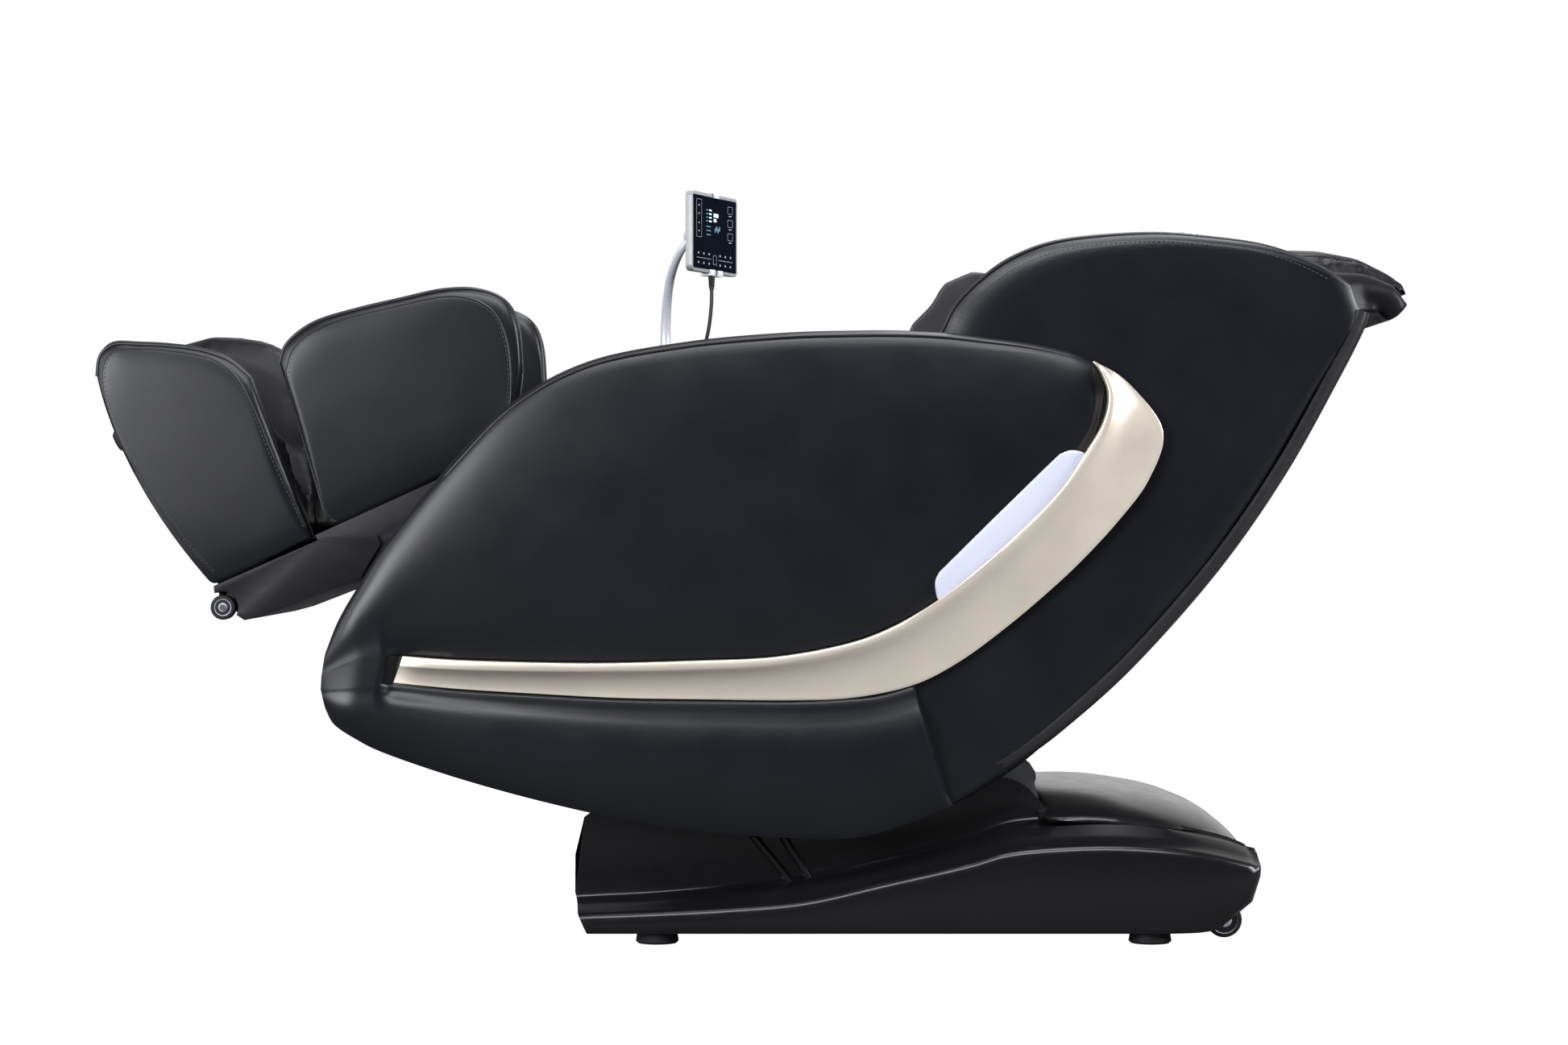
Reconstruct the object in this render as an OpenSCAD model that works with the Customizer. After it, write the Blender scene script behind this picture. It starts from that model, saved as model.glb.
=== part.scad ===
// Reclining massage chair: base, tilting body with arms, backrest, leg rest and remote stand.
// The chair stands on Z = 0 with the person facing -X; all outlines are side elevations [x, z].

/* [Widths] */
// Width over the trim strips of the two arms
arm_span = 760; // [752:1:790]
// Clear width between the side plates of the seat frame
seat_clear_w = 516; // [512:1:520]
// Gap between the leg rest and the side plates of the seat frame
legrest_gap = 13; // [10:1:23]
// Width over the skirts of the base
skirt_w = 676; // [660:1:690]

/* [Arms] */
// Depth of the trim strip from its back to its lip
trim_depth = 27; // [22:1:30]
// How far the arm leather swells out between its edges
arm_crown = 18; // [10:1:20]
// Height of the padded armrest tops
armrest_pad_h = 40; // [30:1:50]
// Wall of the moulded arm frames
arm_wall = 8; // [5:1:12]

/* [Frame] */
// Thickness of the side plates of the seat frame
side_plate_t = 6; // [4:0.5:6]
// Size of the square steel tubes
tube_size = 30; // [24:1:34]
// Diameter of the two body pivot pins
tilt_pin_d = 16; // [12:1:20]
// Diameter of the two backrest pivot pins
back_pin_d = 18; // [14:1:22]
// Diameter of the two knee pivot pins
knee_pin_d = 16; // [12:1:20]
// Running clearance round every pin
pin_play = 0.3; // [0.2:0.05:0.5]

/* [Base] */
// Height of the rubber feet
foot_h = 16; // [12:1:20]
// Diameter of the rubber feet
foot_d = 58; // [50:1:64]
// Diameter of the transport wheels
transport_wheel_d = 48; // [40:1:50]
// Wall of the moulded covers
cover_wall = 3; // [2.5:0.5:4]

/* [Leg rest] */
// Thickness of the upholstered side walls
leg_side_t = 40; // [30:1:46]
// Diameter of the heel wheels
heel_wheel_d = 34; // [28:1:36]
// Diameter of the sole massage rollers
sole_roller_d = 46; // [40:1:50]

/* [Massage carriage] */
// Diameter of the four massage heads
head_d = 62; // [54:1:66]
// Distance between the left and right massage heads
head_spread = 150; // [130:1:170]

/* [Remote] */
// Width of the tablet face
tablet_w = 165; // [150:1:180]
// Height of the tablet face
tablet_h = 118; // [105:1:130]
// Thickness of the tablet
tablet_t = 10.5; // [9:0.5:14]
// Diameter of the post at its foot
post_foot_d = 17; // [14:0.5:20]
// Diameter of the post at its top
post_top_d = 11; // [9:0.5:13]
// Diameter of the remote's cord
cord_d = 5.6; // [4:0.2:7]

/* [Hidden] */
$fn = 48;
// Gap between soft pieces and what carries them
seat_gap = 0.3;
// Gap between pieces that move past each other
run_gap = 4;

// Pivot axes, all along Y: body on base, backrest on body, leg rest on body
tilt_pivot = [346, 220];
back_pivot = [225, 371];
knee_pivot = [-373, 620];
leg_angle = 24.5;

// Layers outward from the middle, all as |y|
plate_in = seat_clear_w / 2;
legrest_w = seat_clear_w - 2 * legrest_gap;
plate_out = plate_in + side_plate_t;
post_in = plate_out + 2;
post_out = post_in + 6;
inner_wall = post_out + 1;
wing_in_low = inner_wall + cover_wall + run_gap;
wing_in_top = plate_out - 1;
arm_in = plate_out + 2;
trim_back = arm_span / 2 - trim_depth;
pad_floor = trim_back - seat_gap;
pad_back = pad_floor - 2.4;
arm_out = pad_back - seat_gap;
wing_out = arm_out - run_gap;
rail_out = plate_in - 2;
rail_in = rail_out - 12;

// ---- Curves and surfaces -------------------------------------------------

// Point of a smooth curve between b and c, with a and d as its neighbours
function curve_point(a, b, c, d, t) =
    0.5 * (2 * b + (c - a) * t + (2 * a - 5 * b + 4 * c - d) * t * t
        + (3 * b - a - 3 * c + d) * t * t * t);

// Smooth open curve through a few points, with n steps between neighbours
function curve(p, n) = let (last = len(p) - 1)
    [for (i = [0 : last - 1]) for (j = [0 : n - 1])
        curve_point(p[max(i - 1, 0)], p[i], p[i + 1], p[min(i + 2, last)], j / n), p[last]];

// Smooth closed outline through a few points
function outline(p, n) = let (m = len(p))
    [for (i = [0 : m - 1]) for (j = [0 : n - 1])
        curve_point(p[(i + m - 1) % m], p[i], p[(i + 1) % m], p[(i + 2) % m], j / n)];

// Height of a curve that runs from left to right, at x
function height_at(c, x) = lookup(x, [for (p = c) [p[0], p[1]]]);

function mix(a, b, t) = a + (b - a) * t;
function clamp01(t) = min(max(t, 0), 1);
function ease(t) = let (s = clamp01(t)) s * s * (3 - 2 * s);
// Point a given way from a towards b
function toward(a, b, d) = a + (b - a) * d / max(norm(b - a), 0.001);

// Straight slab with a side elevation, from y0 to y1
module slab(points, y0, y1) {
    translate([0, y1, 0]) rotate([90, 0, 0]) linear_extrude(y1 - y0) polygon(points);
}

// The same slab on both sides of the chair
module slab_pair(points, y0, y1) {
    slab(points, -y1, -y0);
    slab(points, y0, y1);
}

// Round bar along Y at [x, z]
module bar(at, d, y0, y1) {
    translate([at[0], y1, at[1]]) rotate([90, 0, 0]) cylinder(d = d, h = y1 - y0);
}

module bar_pair(at, d, y0, y1) {
    bar(at, d, -y1, -y0);
    bar(at, d, y0, y1);
}

// Left pieces are drawn at -Y and mirrored for the right
module sided(side) {
    if (side > 0) mirror([0, 1, 0]) children();
    else children();
}

// Two triangles of a four-cornered patch
function patch(a, b, c, d) = [[a, b, c], [a, c, d]];

// Solid between a front grid and a back grid of equal size. Columns run along X and rows from
// the top down, or from +Y to -Y where the front faces up.
module skin(front, back) {
    cols = len(front);
    rows = len(front[0]);
    shift = cols * rows;
    faces = [
        for (i = [0 : cols - 2]) for (j = [0 : rows - 2]) let (k = i * rows + j)
            each patch(k, k + rows, k + rows + 1, k + 1),
        for (i = [0 : cols - 2]) for (j = [0 : rows - 2]) let (k = shift + i * rows + j)
            each patch(k, k + 1, k + rows + 1, k + rows),
        for (i = [0 : cols - 2]) let (k = i * rows)
            each patch(k + shift, k + shift + rows, k + rows, k),
        for (i = [0 : cols - 2]) let (k = i * rows + rows - 1)
            each patch(k, k + rows, k + rows + shift, k + shift),
        for (j = [0 : rows - 2]) each patch(j, j + 1, j + 1 + shift, j + shift),
        for (j = [0 : rows - 2]) let (k = (cols - 1) * rows + j)
            each patch(k + 1, k, k + shift, k + 1 + shift)];
    polyhedron([for (c = front) each c, for (c = back) each c], faces, convexity = 8);
}

// Padded panel: a front grid over a flat back at y_back. The back has only the rows in breaks,
// and a column may stop at an earlier break, given in ends.
module panel(front, breaks, ends, y_back) {
    cols = len(front);
    rows = len(front[0]);
    shift = cols * rows;
    nb = len(breaks);
    back = [for (c = front) for (b = breaks) [c[b][0], y_back, c[b][2]]];
    fans = function (i, lo, hi, flip) [for (s = [lo : hi - 1]) let (
            r0 = breaks[s], r1 = breaks[s + 1], b0 = shift + i * nb + s)
        each concat(
            [for (r = [r0 : r1 - 1]) flip ? [i * rows + r + 1, i * rows + r, b0]
                : [i * rows + r, i * rows + r + 1, b0]],
            [flip ? [b0 + 1, i * rows + r1, b0] : [i * rows + r1, b0 + 1, b0]])];
    faces = [
        for (i = [0 : cols - 2]) for (j = [0 : breaks[min(ends[i], ends[i + 1])] - 1])
            let (k = i * rows + j) each patch(k, k + rows, k + rows + 1, k + 1),
        for (i = [0 : cols - 2]) for (s = [0 : min(ends[i], ends[i + 1]) - 1])
            let (k = shift + i * nb + s) each patch(k, k + 1, k + nb + 1, k + nb),
        for (i = [0 : cols - 2]) let (k = i * rows, b = shift + i * nb)
            each patch(b, b + nb, k + rows, k),
        for (i = [0 : cols - 2]) let (s = min(ends[i], ends[i + 1]),
                k = i * rows + breaks[s], b = shift + i * nb + s)
            each patch(k, k + rows, b + nb, b),
        each fans(0, 0, ends[0], false),
        each fans(cols - 1, 0, ends[cols - 1], true),
        for (i = [0 : cols - 2]) if (ends[i + 1] < ends[i]) each fans(i, ends[i + 1], ends[i], true)];
    polyhedron(concat([for (c = front) each c], back), faces, convexity = 8);
}

// Tube swept along points, with its radius at each point; the frame is carried along the route
function cross_unit(a, b) = let (c = cross(a, b)) c / max(norm(c), 1e-6);
function tube_ring(p, t, side, r, n) = let (u = cross_unit(t, side), v = cross(t, u))
    [for (k = [0 : n - 1]) p + r * (cos(360 * k / n) * u + sin(360 * k / n) * v)];
module swept_tube(route, radii, n, side) {
    m = len(route);
    dirs = [for (i = [0 : m - 1])
        let (d = route[min(i + 1, m - 1)] - route[max(i - 1, 0)]) d / norm(d)];
    pts = [for (i = [0 : m - 1]) each tube_ring(route[i], dirs[i], side, radii[i], n)];
    walls = [for (i = [0 : m - 2]) for (k = [0 : n - 1]) let (a = i * n + k, b = i * n + (k + 1) % n)
        each patch(a, a + n, b + n, b)];
    ends = [for (k = [1 : n - 2]) each [[0, k, k + 1],
        [(m - 1) * n, (m - 1) * n + k + 1, (m - 1) * n + k]]];
    polyhedron(pts, concat(walls, ends), convexity = 6);
}

// Surface point a fraction v of the way from a to c, bent through b at v = m
function bent(a, b, c, v, m = 0.45) =
    a * (v - m) * (v - 1) / m + b * v * (v - 1) / (m * (m - 1)) + c * v * (v - m) / (1 - m);

// Direction to the right of travel along a curve of [x, z] points
function inward(c, i) = let (
    t = c[min(i + 1, len(c) - 1)] - c[max(i - 1, 0)]) [t[1], -t[0]] / max(norm(t), 0.001);
// The same curve moved to the right of travel by d
function inset(c, d) = [for (i = [0 : len(c) - 1]) c[i] + inward(c, i) * d];
function backwards(c) = [for (i = [len(c) - 1 : -1 : 0]) c[i]];
// Closed strip between a curve and the same curve moved by d
function strip(c, d) = concat(c, backwards(inset(c, d)));

// ---- Base ----------------------------------------------------------------

skirt_y = skirt_w / 2;
rail_top = foot_h + 14 + tube_size;
foot_x = [-137, 528];
foot_y = 296;
rail_y = post_out - tube_size;
transport_axle = [628, 31];
inlet_y = -130;
inlet_z = 80;
rocker_pin_d = 4;

// Upper edge of the skirt and the seam above it, both sweeping up to the rear
ledge = curve([[-254, 44], [-137, 48], [-13, 55], [70, 64], [170, 87], [280, 112], [332, 127],
    [400, 134], [480, 136], [560, 131], [620, 122], [680, 106]], 2);
seam = curve([[-254, 50], [-117, 57], [38, 74], [160, 100], [280, 129], [336, 150], [403, 157],
    [475, 160], [530, 156], [585, 147], [641, 135], [680, 118]], 2);
// Top edge of the wall inside the arms
wall_top = [[-254, 168], [-235, 175], [-100, 184], [100, 196], [300, 216], [327, 222], [346, 219],
    [364, 208], [378, 192], [390, 172], [470, 185], [540, 166], [590, 158], [680, 125]];
// Front and rear ends of the base, as x against z
base_front = [[16, -230], [44, -243], [69, -250], [90, -253], [123, -248], [175, -235], [200, -230]];
base_rear = [[15, 590], [19, 618], [35, 645], [54, 665], [79, 676], [102, 678], [121, 674], [150, 660]];

// The covers draw in towards the rear from here, by this much at the corner
rear_start = 540;
corner_tuck = 14;

// Section of a side cover at x, from the bottom of the skirt up; d is the depth into the wall
function cover_section(x, d) = let (zl = height_at(ledge, x), zs = height_at(seam, x),
        y1 = inner_wall + cover_wall - d, h = x < 390 ? 1 : 0.4, zt = max(lookup(x, wall_top), zs + 20 * h),
        w = skirt_y - corner_tuck * pow(max(x - rear_start, 0) / (680 - rear_start), 2))
    [[w - 4 - d, foot_h], [w - d, foot_h + 8], [w - d, zl - 16], [w - 3 - d, zl - 5 - d * 0.5],
     [w - 14 - d * 0.5, zl - d], [w - 38, zs - d], [y1 + 9, zs + 5 * h - d],
     [y1, zs + 15 * h], [y1, zt]];

// Room for the transport wheels in the covers
module wheel_arches() {
    bar_pair(transport_axle, transport_wheel_d + 10, post_out, post_out + 34);
}

module base_side_cover(side) {
    xs = [-254, -220, -150, -70, 20, 110, 200, 270, 320, 350, 380, 392, 470, 540, 600, 650, 675, 680, 680];
    // The last three columns turn the corner and close the rear end
    turn_x = [5, 1, 0];
    turn_y = [400, 306, 274];
    last = len(xs) - 1;
    end_x = function (i, z) i == 0 ? lookup(z, base_front) : xs[i] <= rear_start ? xs[i]
        : mix(rear_start, lookup(z, base_rear), (xs[i] - rear_start) / (680 - rear_start));
    grid = function (d) [for (i = [0 : last]) let (s = cover_section(xs[i], d), k = i - last + 2)
        [for (j = [len(s) - 1 : -1 : 0]) [end_x(i, s[j][1]) - (k < 0 ? 0 : k == 0 ? 0 : d + turn_x[k]),
            -min(s[j][0], k < 0 ? 400 : turn_y[k] - (k == 1 ? d : 0)), s[j][1]]]];
    color("#1a1a1c") sided(side) difference() {
        skin(grid(0), grid(cover_wall));
        wheel_arches();
    }
    color("#1a1a1c") sided(side) {
        // A pair of slanted ribs stiffens the wall
        for (r = [[[-12, 140], [43, 73]], [[29, 138], [63, 84]]])
            slab([r[0], r[0] + [9, 2], r[1] + [9, 2], r[1]],
                -inner_wall - cover_wall - 3, -inner_wall - 1);
    }
}

module base_front_panel() {
    front = [for (z = [18, 44, 69, 90, 123, 164]) [lookup(z, base_front) + 3.5, z]];
    low = [for (z = [foot_h + 1, 34]) [lookup(z, base_front) + 3.5, z]];
    color("#1a1a1c") {
        slab(strip(front, cover_wall), -inner_wall + 0.3, inner_wall - 0.3);
        slab(strip(low, cover_wall), -skirt_y + 18, skirt_y - 18);
    }
}

module base_rear_cover() {
    crest = [[391, 177], [392.5, 190], [402, 197], [440, 199], [490, 197], [559, 187],
        [601, 173], [629, 160], [655, 139], [674, 116], [678, 95], [674, 72], [664, 50]];
    ys = [301, 299, 290, 262, 170, 0, -170, -262, -290, -299, -301];
    drop = [[0, 0], [170, 1], [262, 4], [290, 13], [299, 28], [301, 36]];
    // How far the sides fall below the crest, and how much narrower it gets towards the rear
    fall = [6, 6, 30, 32, 32, 25, 14, 10, 8, 6, 4, 4, 4];
    narrow = [1, 1, 1, 1, 1, 0.97, 0.93, 0.9, 0.9, 0.9, 0.9, 0.9, 0.9];
    grid = function (d) [for (i = [0 : len(crest) - 1]) let (n = inward(crest, i)) [for (y = ys) let (
        p = crest[i] + n * (min(lookup(abs(y), drop), fall[i]) + d))
        [p[0], y * narrow[i] - sign(y) * d, p[1]]]];
    color("#1a1a1c") difference() {
        skin(grid(0), grid(cover_wall));
        translate([640, inlet_y - 42, inlet_z - 17]) cube([60, 84, 34]);
    }
}

module base_frame() {
    rail = tube_size;
    color("#3a3b3e") difference() {
        union() {
            for (s = [-1, 1]) {
                translate([-215, s * (rail_y + rail / 2) - rail / 2, foot_h + 14])
                    cube([790, rail, rail]);
                // Bracket plates carry the transport wheels
                slab([[505, foot_h + 6], [650, foot_h + 6], [650, 44], [505, 52]],
                    s > 0 ? post_out : -post_out - 6, s > 0 ? post_out + 6 : -post_out);
                bar(transport_axle, 10, s > 0 ? post_out + 5 : -post_out - 30,
                    s > 0 ? post_out + 30 : -post_out - 5);
            }
            for (x = foot_x) translate([x - 22, -320, foot_h]) cube([44, 640, 14]);
            // Tabs on them hold the skirts
            for (x = foot_x) translate([x - 12, cover_wall - skirt_y, foot_h + 8])
                cube([24, 2 * (skirt_y - cover_wall), 6]);
            for (x = [-215, 250, 500]) translate([x, -rail_y, foot_h + 14]) cube([rail, 2 * rail_y, rail]);
            translate([-185, -rail_y, foot_h + 14]) cube([435, 2 * rail_y, 3]);
            // Posts stand on the rails and hold the pins that the body tilts on
            slab_pair([[280, foot_h + 20], [420, foot_h + 20], [372, tilt_pivot[1]],
                [366, tilt_pivot[1] + 20], [326, tilt_pivot[1] + 20], [320, tilt_pivot[1]]],
                post_in, post_out);
            bar_pair(tilt_pivot, tilt_pin_d, plate_in - 4, post_out);
            bar_pair(tilt_pivot, tilt_pin_d + 10, plate_in - 4, plate_in - 1);
        }
        for (s = [-1, 1]) translate([-216, s * (rail_y + rail / 2) - rail / 2 + 2, foot_h + 16])
            cube([792, rail - 4, rail - 4]);
    }
}

module base_feet() {
    color("#101012") for (x = foot_x, s = [-1, 1]) translate([x, s * foot_y, 0]) difference() {
        rotate_extrude() polygon([[0, 0], [foot_d / 2 - 3, 0], [foot_d / 2, 3],
            [foot_d / 2 - 2, foot_h], [0, foot_h]]);
        translate([0, 0, -1]) cylinder(d = 12, h = 7);
    }
}

module wheel_profile(d, w, bore, hub) {
    rotate_extrude() polygon([[bore, -w / 2], [hub, -w / 2], [hub, -w / 2 + 2], [d / 2 - 7, -w / 2 + 2],
        [d / 2 - 6, -w / 2], [d / 2 - 2, -w / 2], [d / 2, -w / 2 + 2], [d / 2, w / 2 - 2],
        [d / 2 - 2, w / 2], [d / 2 - 6, w / 2], [d / 2 - 7, w / 2 - 2], [hub, w / 2 - 2], [hub, w / 2],
        [bore, w / 2]]);
}

module transport_wheel(side) {
    color("#242428") translate([transport_axle[0], side * (post_out + 18), transport_axle[1]])
        rotate([90, 0, 0]) wheel_profile(transport_wheel_d, 20, 5 + pin_play, 10);
}

module power_inlet() {
    x = 668;
    color("#141416") difference() {
        union() {
            translate([x, inlet_y - 41.7, inlet_z - 16.7]) cube([4, 83.4, 33.4]);
            translate([x - 22, inlet_y - 38, inlet_z - 14]) cube([22, 32, 28]);
            translate([x - 22, inlet_y + 6, inlet_z - 14]) cube([22, 30, 28]);
        }
        // Socket for the mains plug, with its three flat pins
        difference() {
            translate([x - 18, inlet_y - 35, inlet_z - 11]) cube([30, 26, 22]);
            for (p = [[-6, -2], [0, 3], [6, -2]]) translate([x - 19, inlet_y - 23 + p[0], inlet_z + p[1]])
                cube([15, 2, 5]);
        }
        translate([x - 18, inlet_y + 9, inlet_z - 11]) cube([30, 24, 22]);
        bar([x, inlet_z], rocker_pin_d + 2 * pin_play, inlet_y + 5, inlet_y + 37);
    }
}

// Rocker that tips about an axis along Y
module power_switch() {
    x = 668;
    color("#8c1c1c") {
        slab([[x - 4, inlet_z - 8.5], [x + 3, inlet_z - 9.5], [x + 5, inlet_z - 8.5],
            [x + 3.4, inlet_z], [x + 6, inlet_z + 8.5], [x + 4, inlet_z + 9.5], [x - 4, inlet_z + 8.5]],
            inlet_y + 9.5, inlet_y + 32.5);
        bar([x, inlet_z], rocker_pin_d, inlet_y + 6.5, inlet_y + 35.5);
    }
}

module power_supply() {
    color("#9a9ca0") translate([-170, -190, foot_h + 17]) difference() {
        cube([150, 170, 66]);
        for (i = [0 : 8]) translate([10 + i * 15, 10, 62]) cube([6, 150, 6]);
    }
}

module air_pump() {
    color("#2c2d31") translate([-170, 30, foot_h + 17]) {
        cube([130, 140, 60]);
        for (y = [35, 105]) translate([30, y, 58]) {
            cylinder(d = 50, h = 16);
            cylinder(d = 12, h = 26);
        }
        translate([85, 20, 60]) cube([35, 100, 14]);
    }
}

// ---- Body: seat frame and arms -------------------------------------------

module seat_frame() {
    plate = outline([[-402, 628], [-376, 650], [-330, 640], [-100, 542], [120, 444], [225, 410],
        [262, 388], [300, 300], [368, 240], [374, 212], [350, 194], [310, 206], [220, 262],
        [60, 312], [-150, 420], [-330, 560], [-392, 598]], 3);
    cross_at = [[-300, 575], [-110, 478], [90, 352]];
    pan_t = 3;
    pan = [[-318, 638.6], [128, 452.6]];
    color("#3a3b3e") difference() {
        union() {
            slab_pair(plate, plate_in, plate_out);
            // Bosses that the arm frames are screwed to
            for (b = [[-300, 600], [-100, 500], [60, 420]]) bar_pair(b, 24, plate_out - 1, arm_in);
            for (c = cross_at) translate([c[0] - tube_size / 2, -plate_in, c[1] - tube_size / 2])
                cube([tube_size, 2 * plate_in, tube_size]);
            slab(strip(pan, pan_t), -plate_in, plate_in);
            // Angles hold the pan to the two front tubes
            for (c = [cross_at[0], cross_at[1]], s = [-1, 1]) slab([c + [-12, 10], c + [12, 10],
                [c[0] + 12, height_at(pan, c[0] + 12) - pan_t / 2],
                [c[0] - 12, height_at(pan, c[0] - 12) - pan_t / 2]], s * 180 - 3, s * 180 + 3);
        }
        bar_pair(knee_pivot, knee_pin_d + 2 * pin_play, plate_in - 1, plate_out + 1);
        bar_pair(back_pivot, back_pin_d + 2 * pin_play, plate_in - 1, plate_out + 1);
        bar_pair(tilt_pivot, tilt_pin_d + 2 * pin_play, plate_in - 1, plate_out + 1);
    }
}

// Rim of the arm from under the nose, round the front and along the top
// The post of the remote turns in a housing let into the right armrest
post_at = [-146, 300];
post_floor = 790;
housing_d = 60;

arm_rim = curve([[-500, 262], [-548, 287], [-574, 312], [-583, 351], [-577, 394], [-560, 437],
    [-534, 482], [-492, 547], [-410, 646], [-328, 728], [-227, 782], [-98, 808], [30, 820], [85, 822]], 1);
arm_centre = [-180, 520];

module arm_frame(side) {
    rim = inset(arm_rim, armrest_pad_h + seat_gap);
    shape = concat(rim, [[85, 300], [-60, 306], [-300, 330], [-440, 318]]);
    cavity = [for (p = shape) toward(p, arm_centre, arm_wall * 1.6)];
    color("#202124") sided(side) difference() {
        slab(shape, -arm_out, -arm_in);
        slab(cavity, -arm_out + arm_wall, -arm_in - arm_wall);
        // Opening for the wiring and air hoses, on the side of the seat frame
        translate([-60, -arm_in - arm_wall - 1, 380]) cube([90, arm_wall + 2, 50]);
    }
}

module armrest_pad(side) {
    ys = [0, 0.06, 0.2, 0.5, 0.8, 0.94, 1];
    drop = [16, 8, 3, 1.5, 3, 8, 16];
    top = [for (i = [0 : len(arm_rim) - 1]) let (n = inward(arm_rim, i)) [for (j = [0 : 6]) let (
        p = arm_rim[i] + n * drop[j]) [p[0], -mix(arm_in + 2, arm_out - 1, ys[j]), p[1]]]];
    under = [for (i = [0 : len(arm_rim) - 1]) let (p = arm_rim[i] + inward(arm_rim, i) * armrest_pad_h)
        [for (j = [0 : 6]) [p[0], -mix(arm_in + 2, arm_out - 1, ys[j]), p[1]]]];
    color("#25262b") sided(side) difference() {
        skin(top, under);
        if (side > 0) translate([post_at[0], -post_at[1], post_floor - 3])
            cylinder(d = housing_d + 2 * seat_gap, h = 50);
    }
}

// Edges of the trim strip: the lip side and the outer side, from the nose to the upper tip
trim_inner = [[-474, 389], [-400, 384], [-304, 381], [-205, 380], [-90, 383], [20, 388], [115, 405],
    [175, 424], [238, 464], [304, 530], [370, 596], [434, 660], [458, 700], [465, 735], [456, 764]];
trim_middle = [[-478, 376], [-400, 372], [-304, 370], [-205, 370], [-90, 372], [20, 378], [115, 396],
    [190, 423], [255, 468], [320, 520], [380, 578], [440, 650], [470, 706], [475, 740], [462, 767]];
trim_outer = [[-487, 353], [-400, 345], [-304, 339], [-190, 333], [-75, 331], [50, 330], [130, 334],
    [208, 351], [280, 397], [350, 450], [420, 510], [480, 570], [534, 650], [530, 711], [476, 766]];

module arm_trim(side) {
    a = curve(trim_inner, 2);
    b = curve(trim_middle, 2);
    c = curve(trim_outer, 2);
    half = arm_span / 2;
    // The strip fades out to a thin point at both ends
    rise = function (i) let (u = i / (len(a) - 1)) ease(u / 0.07) * ease((1 - u) / 0.05) * 0.8 + 0.2;
    front = [for (i = [0 : len(a) - 1]) let (d = trim_depth * rise(i), m = mix(b[i], c[i], 0.35),
            n = mix(b[i], c[i], 0.75), lip = toward(a[i], b[i], min(2, norm(b[i] - a[i]) / 3)))
        [[a[i][0], -(trim_back + d * 0.85), a[i][1]], [lip[0], -(trim_back + d), lip[1]],
         [b[i][0], -(trim_back + d * 0.94), b[i][1]], [m[0], -(trim_back + d * 0.52), m[1]],
         [n[0], -(trim_back + d * 0.4), n[1]], [c[i][0], -(trim_back + d * 0.42), c[i][1]]]];
    color("#8a8272") sided(side) panel(front, [0, 2, 5], [for (i = a) 2], -trim_back);
}

module arm_side_pad(side) {
    // Rows of the upholstery: upper edge, both edges of the trim, and the lower edge
    upper = curve([[-577, 394], [-560, 437], [-534, 482], [-492, 547], [-410, 646], [-328, 728],
        [-227, 782], [-98, 808], [30, 820], [127, 823], [192, 823], [251, 820], [301, 814], [356, 807],
        [406, 797], [430, 789], [443, 782]], 2);
    lip = curve([[-582, 362], [-552, 375], [-520, 385], [-478, 389], [-400, 384], [-304, 381],
        [-205, 380], [-90, 383], [20, 388], [115, 405], [170, 424], [222, 466], [285, 556], [343, 613],
        [411, 667], [451, 702], [459, 750]], 2);
    low = curve([[-583, 345], [-556, 348], [-525, 350], [-487, 353], [-400, 345], [-304, 339],
        [-190, 333], [-75, 331], [50, 330], [130, 334], [166, 339], [208, 351], [290, 465], [352, 520],
        [408, 576], [455, 640], [466, 748]], 2);
    lower = curve([[-577, 318], [-566, 298], [-540, 280], [-500, 260], [-410, 229], [-304, 199],
        [-190, 173], [-75, 155], [50, 146], [128, 147], [192, 160], [259, 190], [290, 465], [352, 520],
        [408, 576], [455, 640], [466, 748]], 2);
    last = len(upper) - 1;
    seam_col = 22;
    // How deep the groove for the trim is: none at the nose, where the leather runs through
    groove = function (i) ease((i - 3) / 2.6);
    swell = function (t) arm_crown * pow(max(sin(180 * clamp01(t)), 0), 0.7);
    edge = pad_floor + 3.5;
    row = function (i, a, b, v, t) let (p = mix(a, b, v)) [p[0], -(edge + swell(t)
        * ease((i + 2) / 6) * ease((last - i + 3) / 7)), p[1]];
    grid = [for (i = [0 : last]) let (g = groove(i), u = upper[i], m = toward(lip[i], u, 2 + 3 * g),
            f = toward(lip[i], u, 0.7 * g), l = low[i], k = i > seam_col, w = lower[i],
            h = k ? l : toward(l, w, 0.7 * g), e = k ? l : toward(l, w, 2 + 3 * g),
            y_lip = mix(edge + arm_crown * 0.9, edge + 6, g), y_floor = mix(edge + arm_crown, pad_floor, g))
        [[u[0], -edge, u[1]], row(i, u, m, 0.08, 0.14), row(i, u, m, 0.3, 0.36), row(i, u, m, 0.62, 0.6),
         row(i, u, m, 0.88, 0.8), [m[0], -y_lip, m[1]], [f[0], -y_floor, f[1]], [h[0], -y_floor, h[1]],
         [e[0], -mix(edge + arm_crown * 0.9, edge + 4, g), e[1]], row(i, e, w, 0.45, 0.5),
         row(i, e, w, 0.85, 0.85), [w[0], -edge, w[1]]]];
    color("#25262b") sided(side)
        panel(grid, [0, 7, 11], [for (i = [0 : last]) i > seam_col ? 1 : 2], -pad_back);
}

module light_panel(side) {
    // A slim rounded bar that fills the corner between the leather and the trim
    near = curve([[240, 468], [304, 532], [370, 598], [432, 658]], 3);
    far = curve([[238, 484], [292, 556], [350, 612], [420, 662]], 3);
    front = [for (i = [0 : len(near) - 1])
        [for (r = [[0, 8], [0.2, 11], [0.8, 11], [1, 8]]) let (p = mix(far[i], near[i], r[0]))
            [p[0], -(trim_back + r[1]), p[1]]]];
    color("#e4e6f2") sided(side) panel(front, [0, 3], [for (i = near) 1], -trim_back);
}

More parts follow.
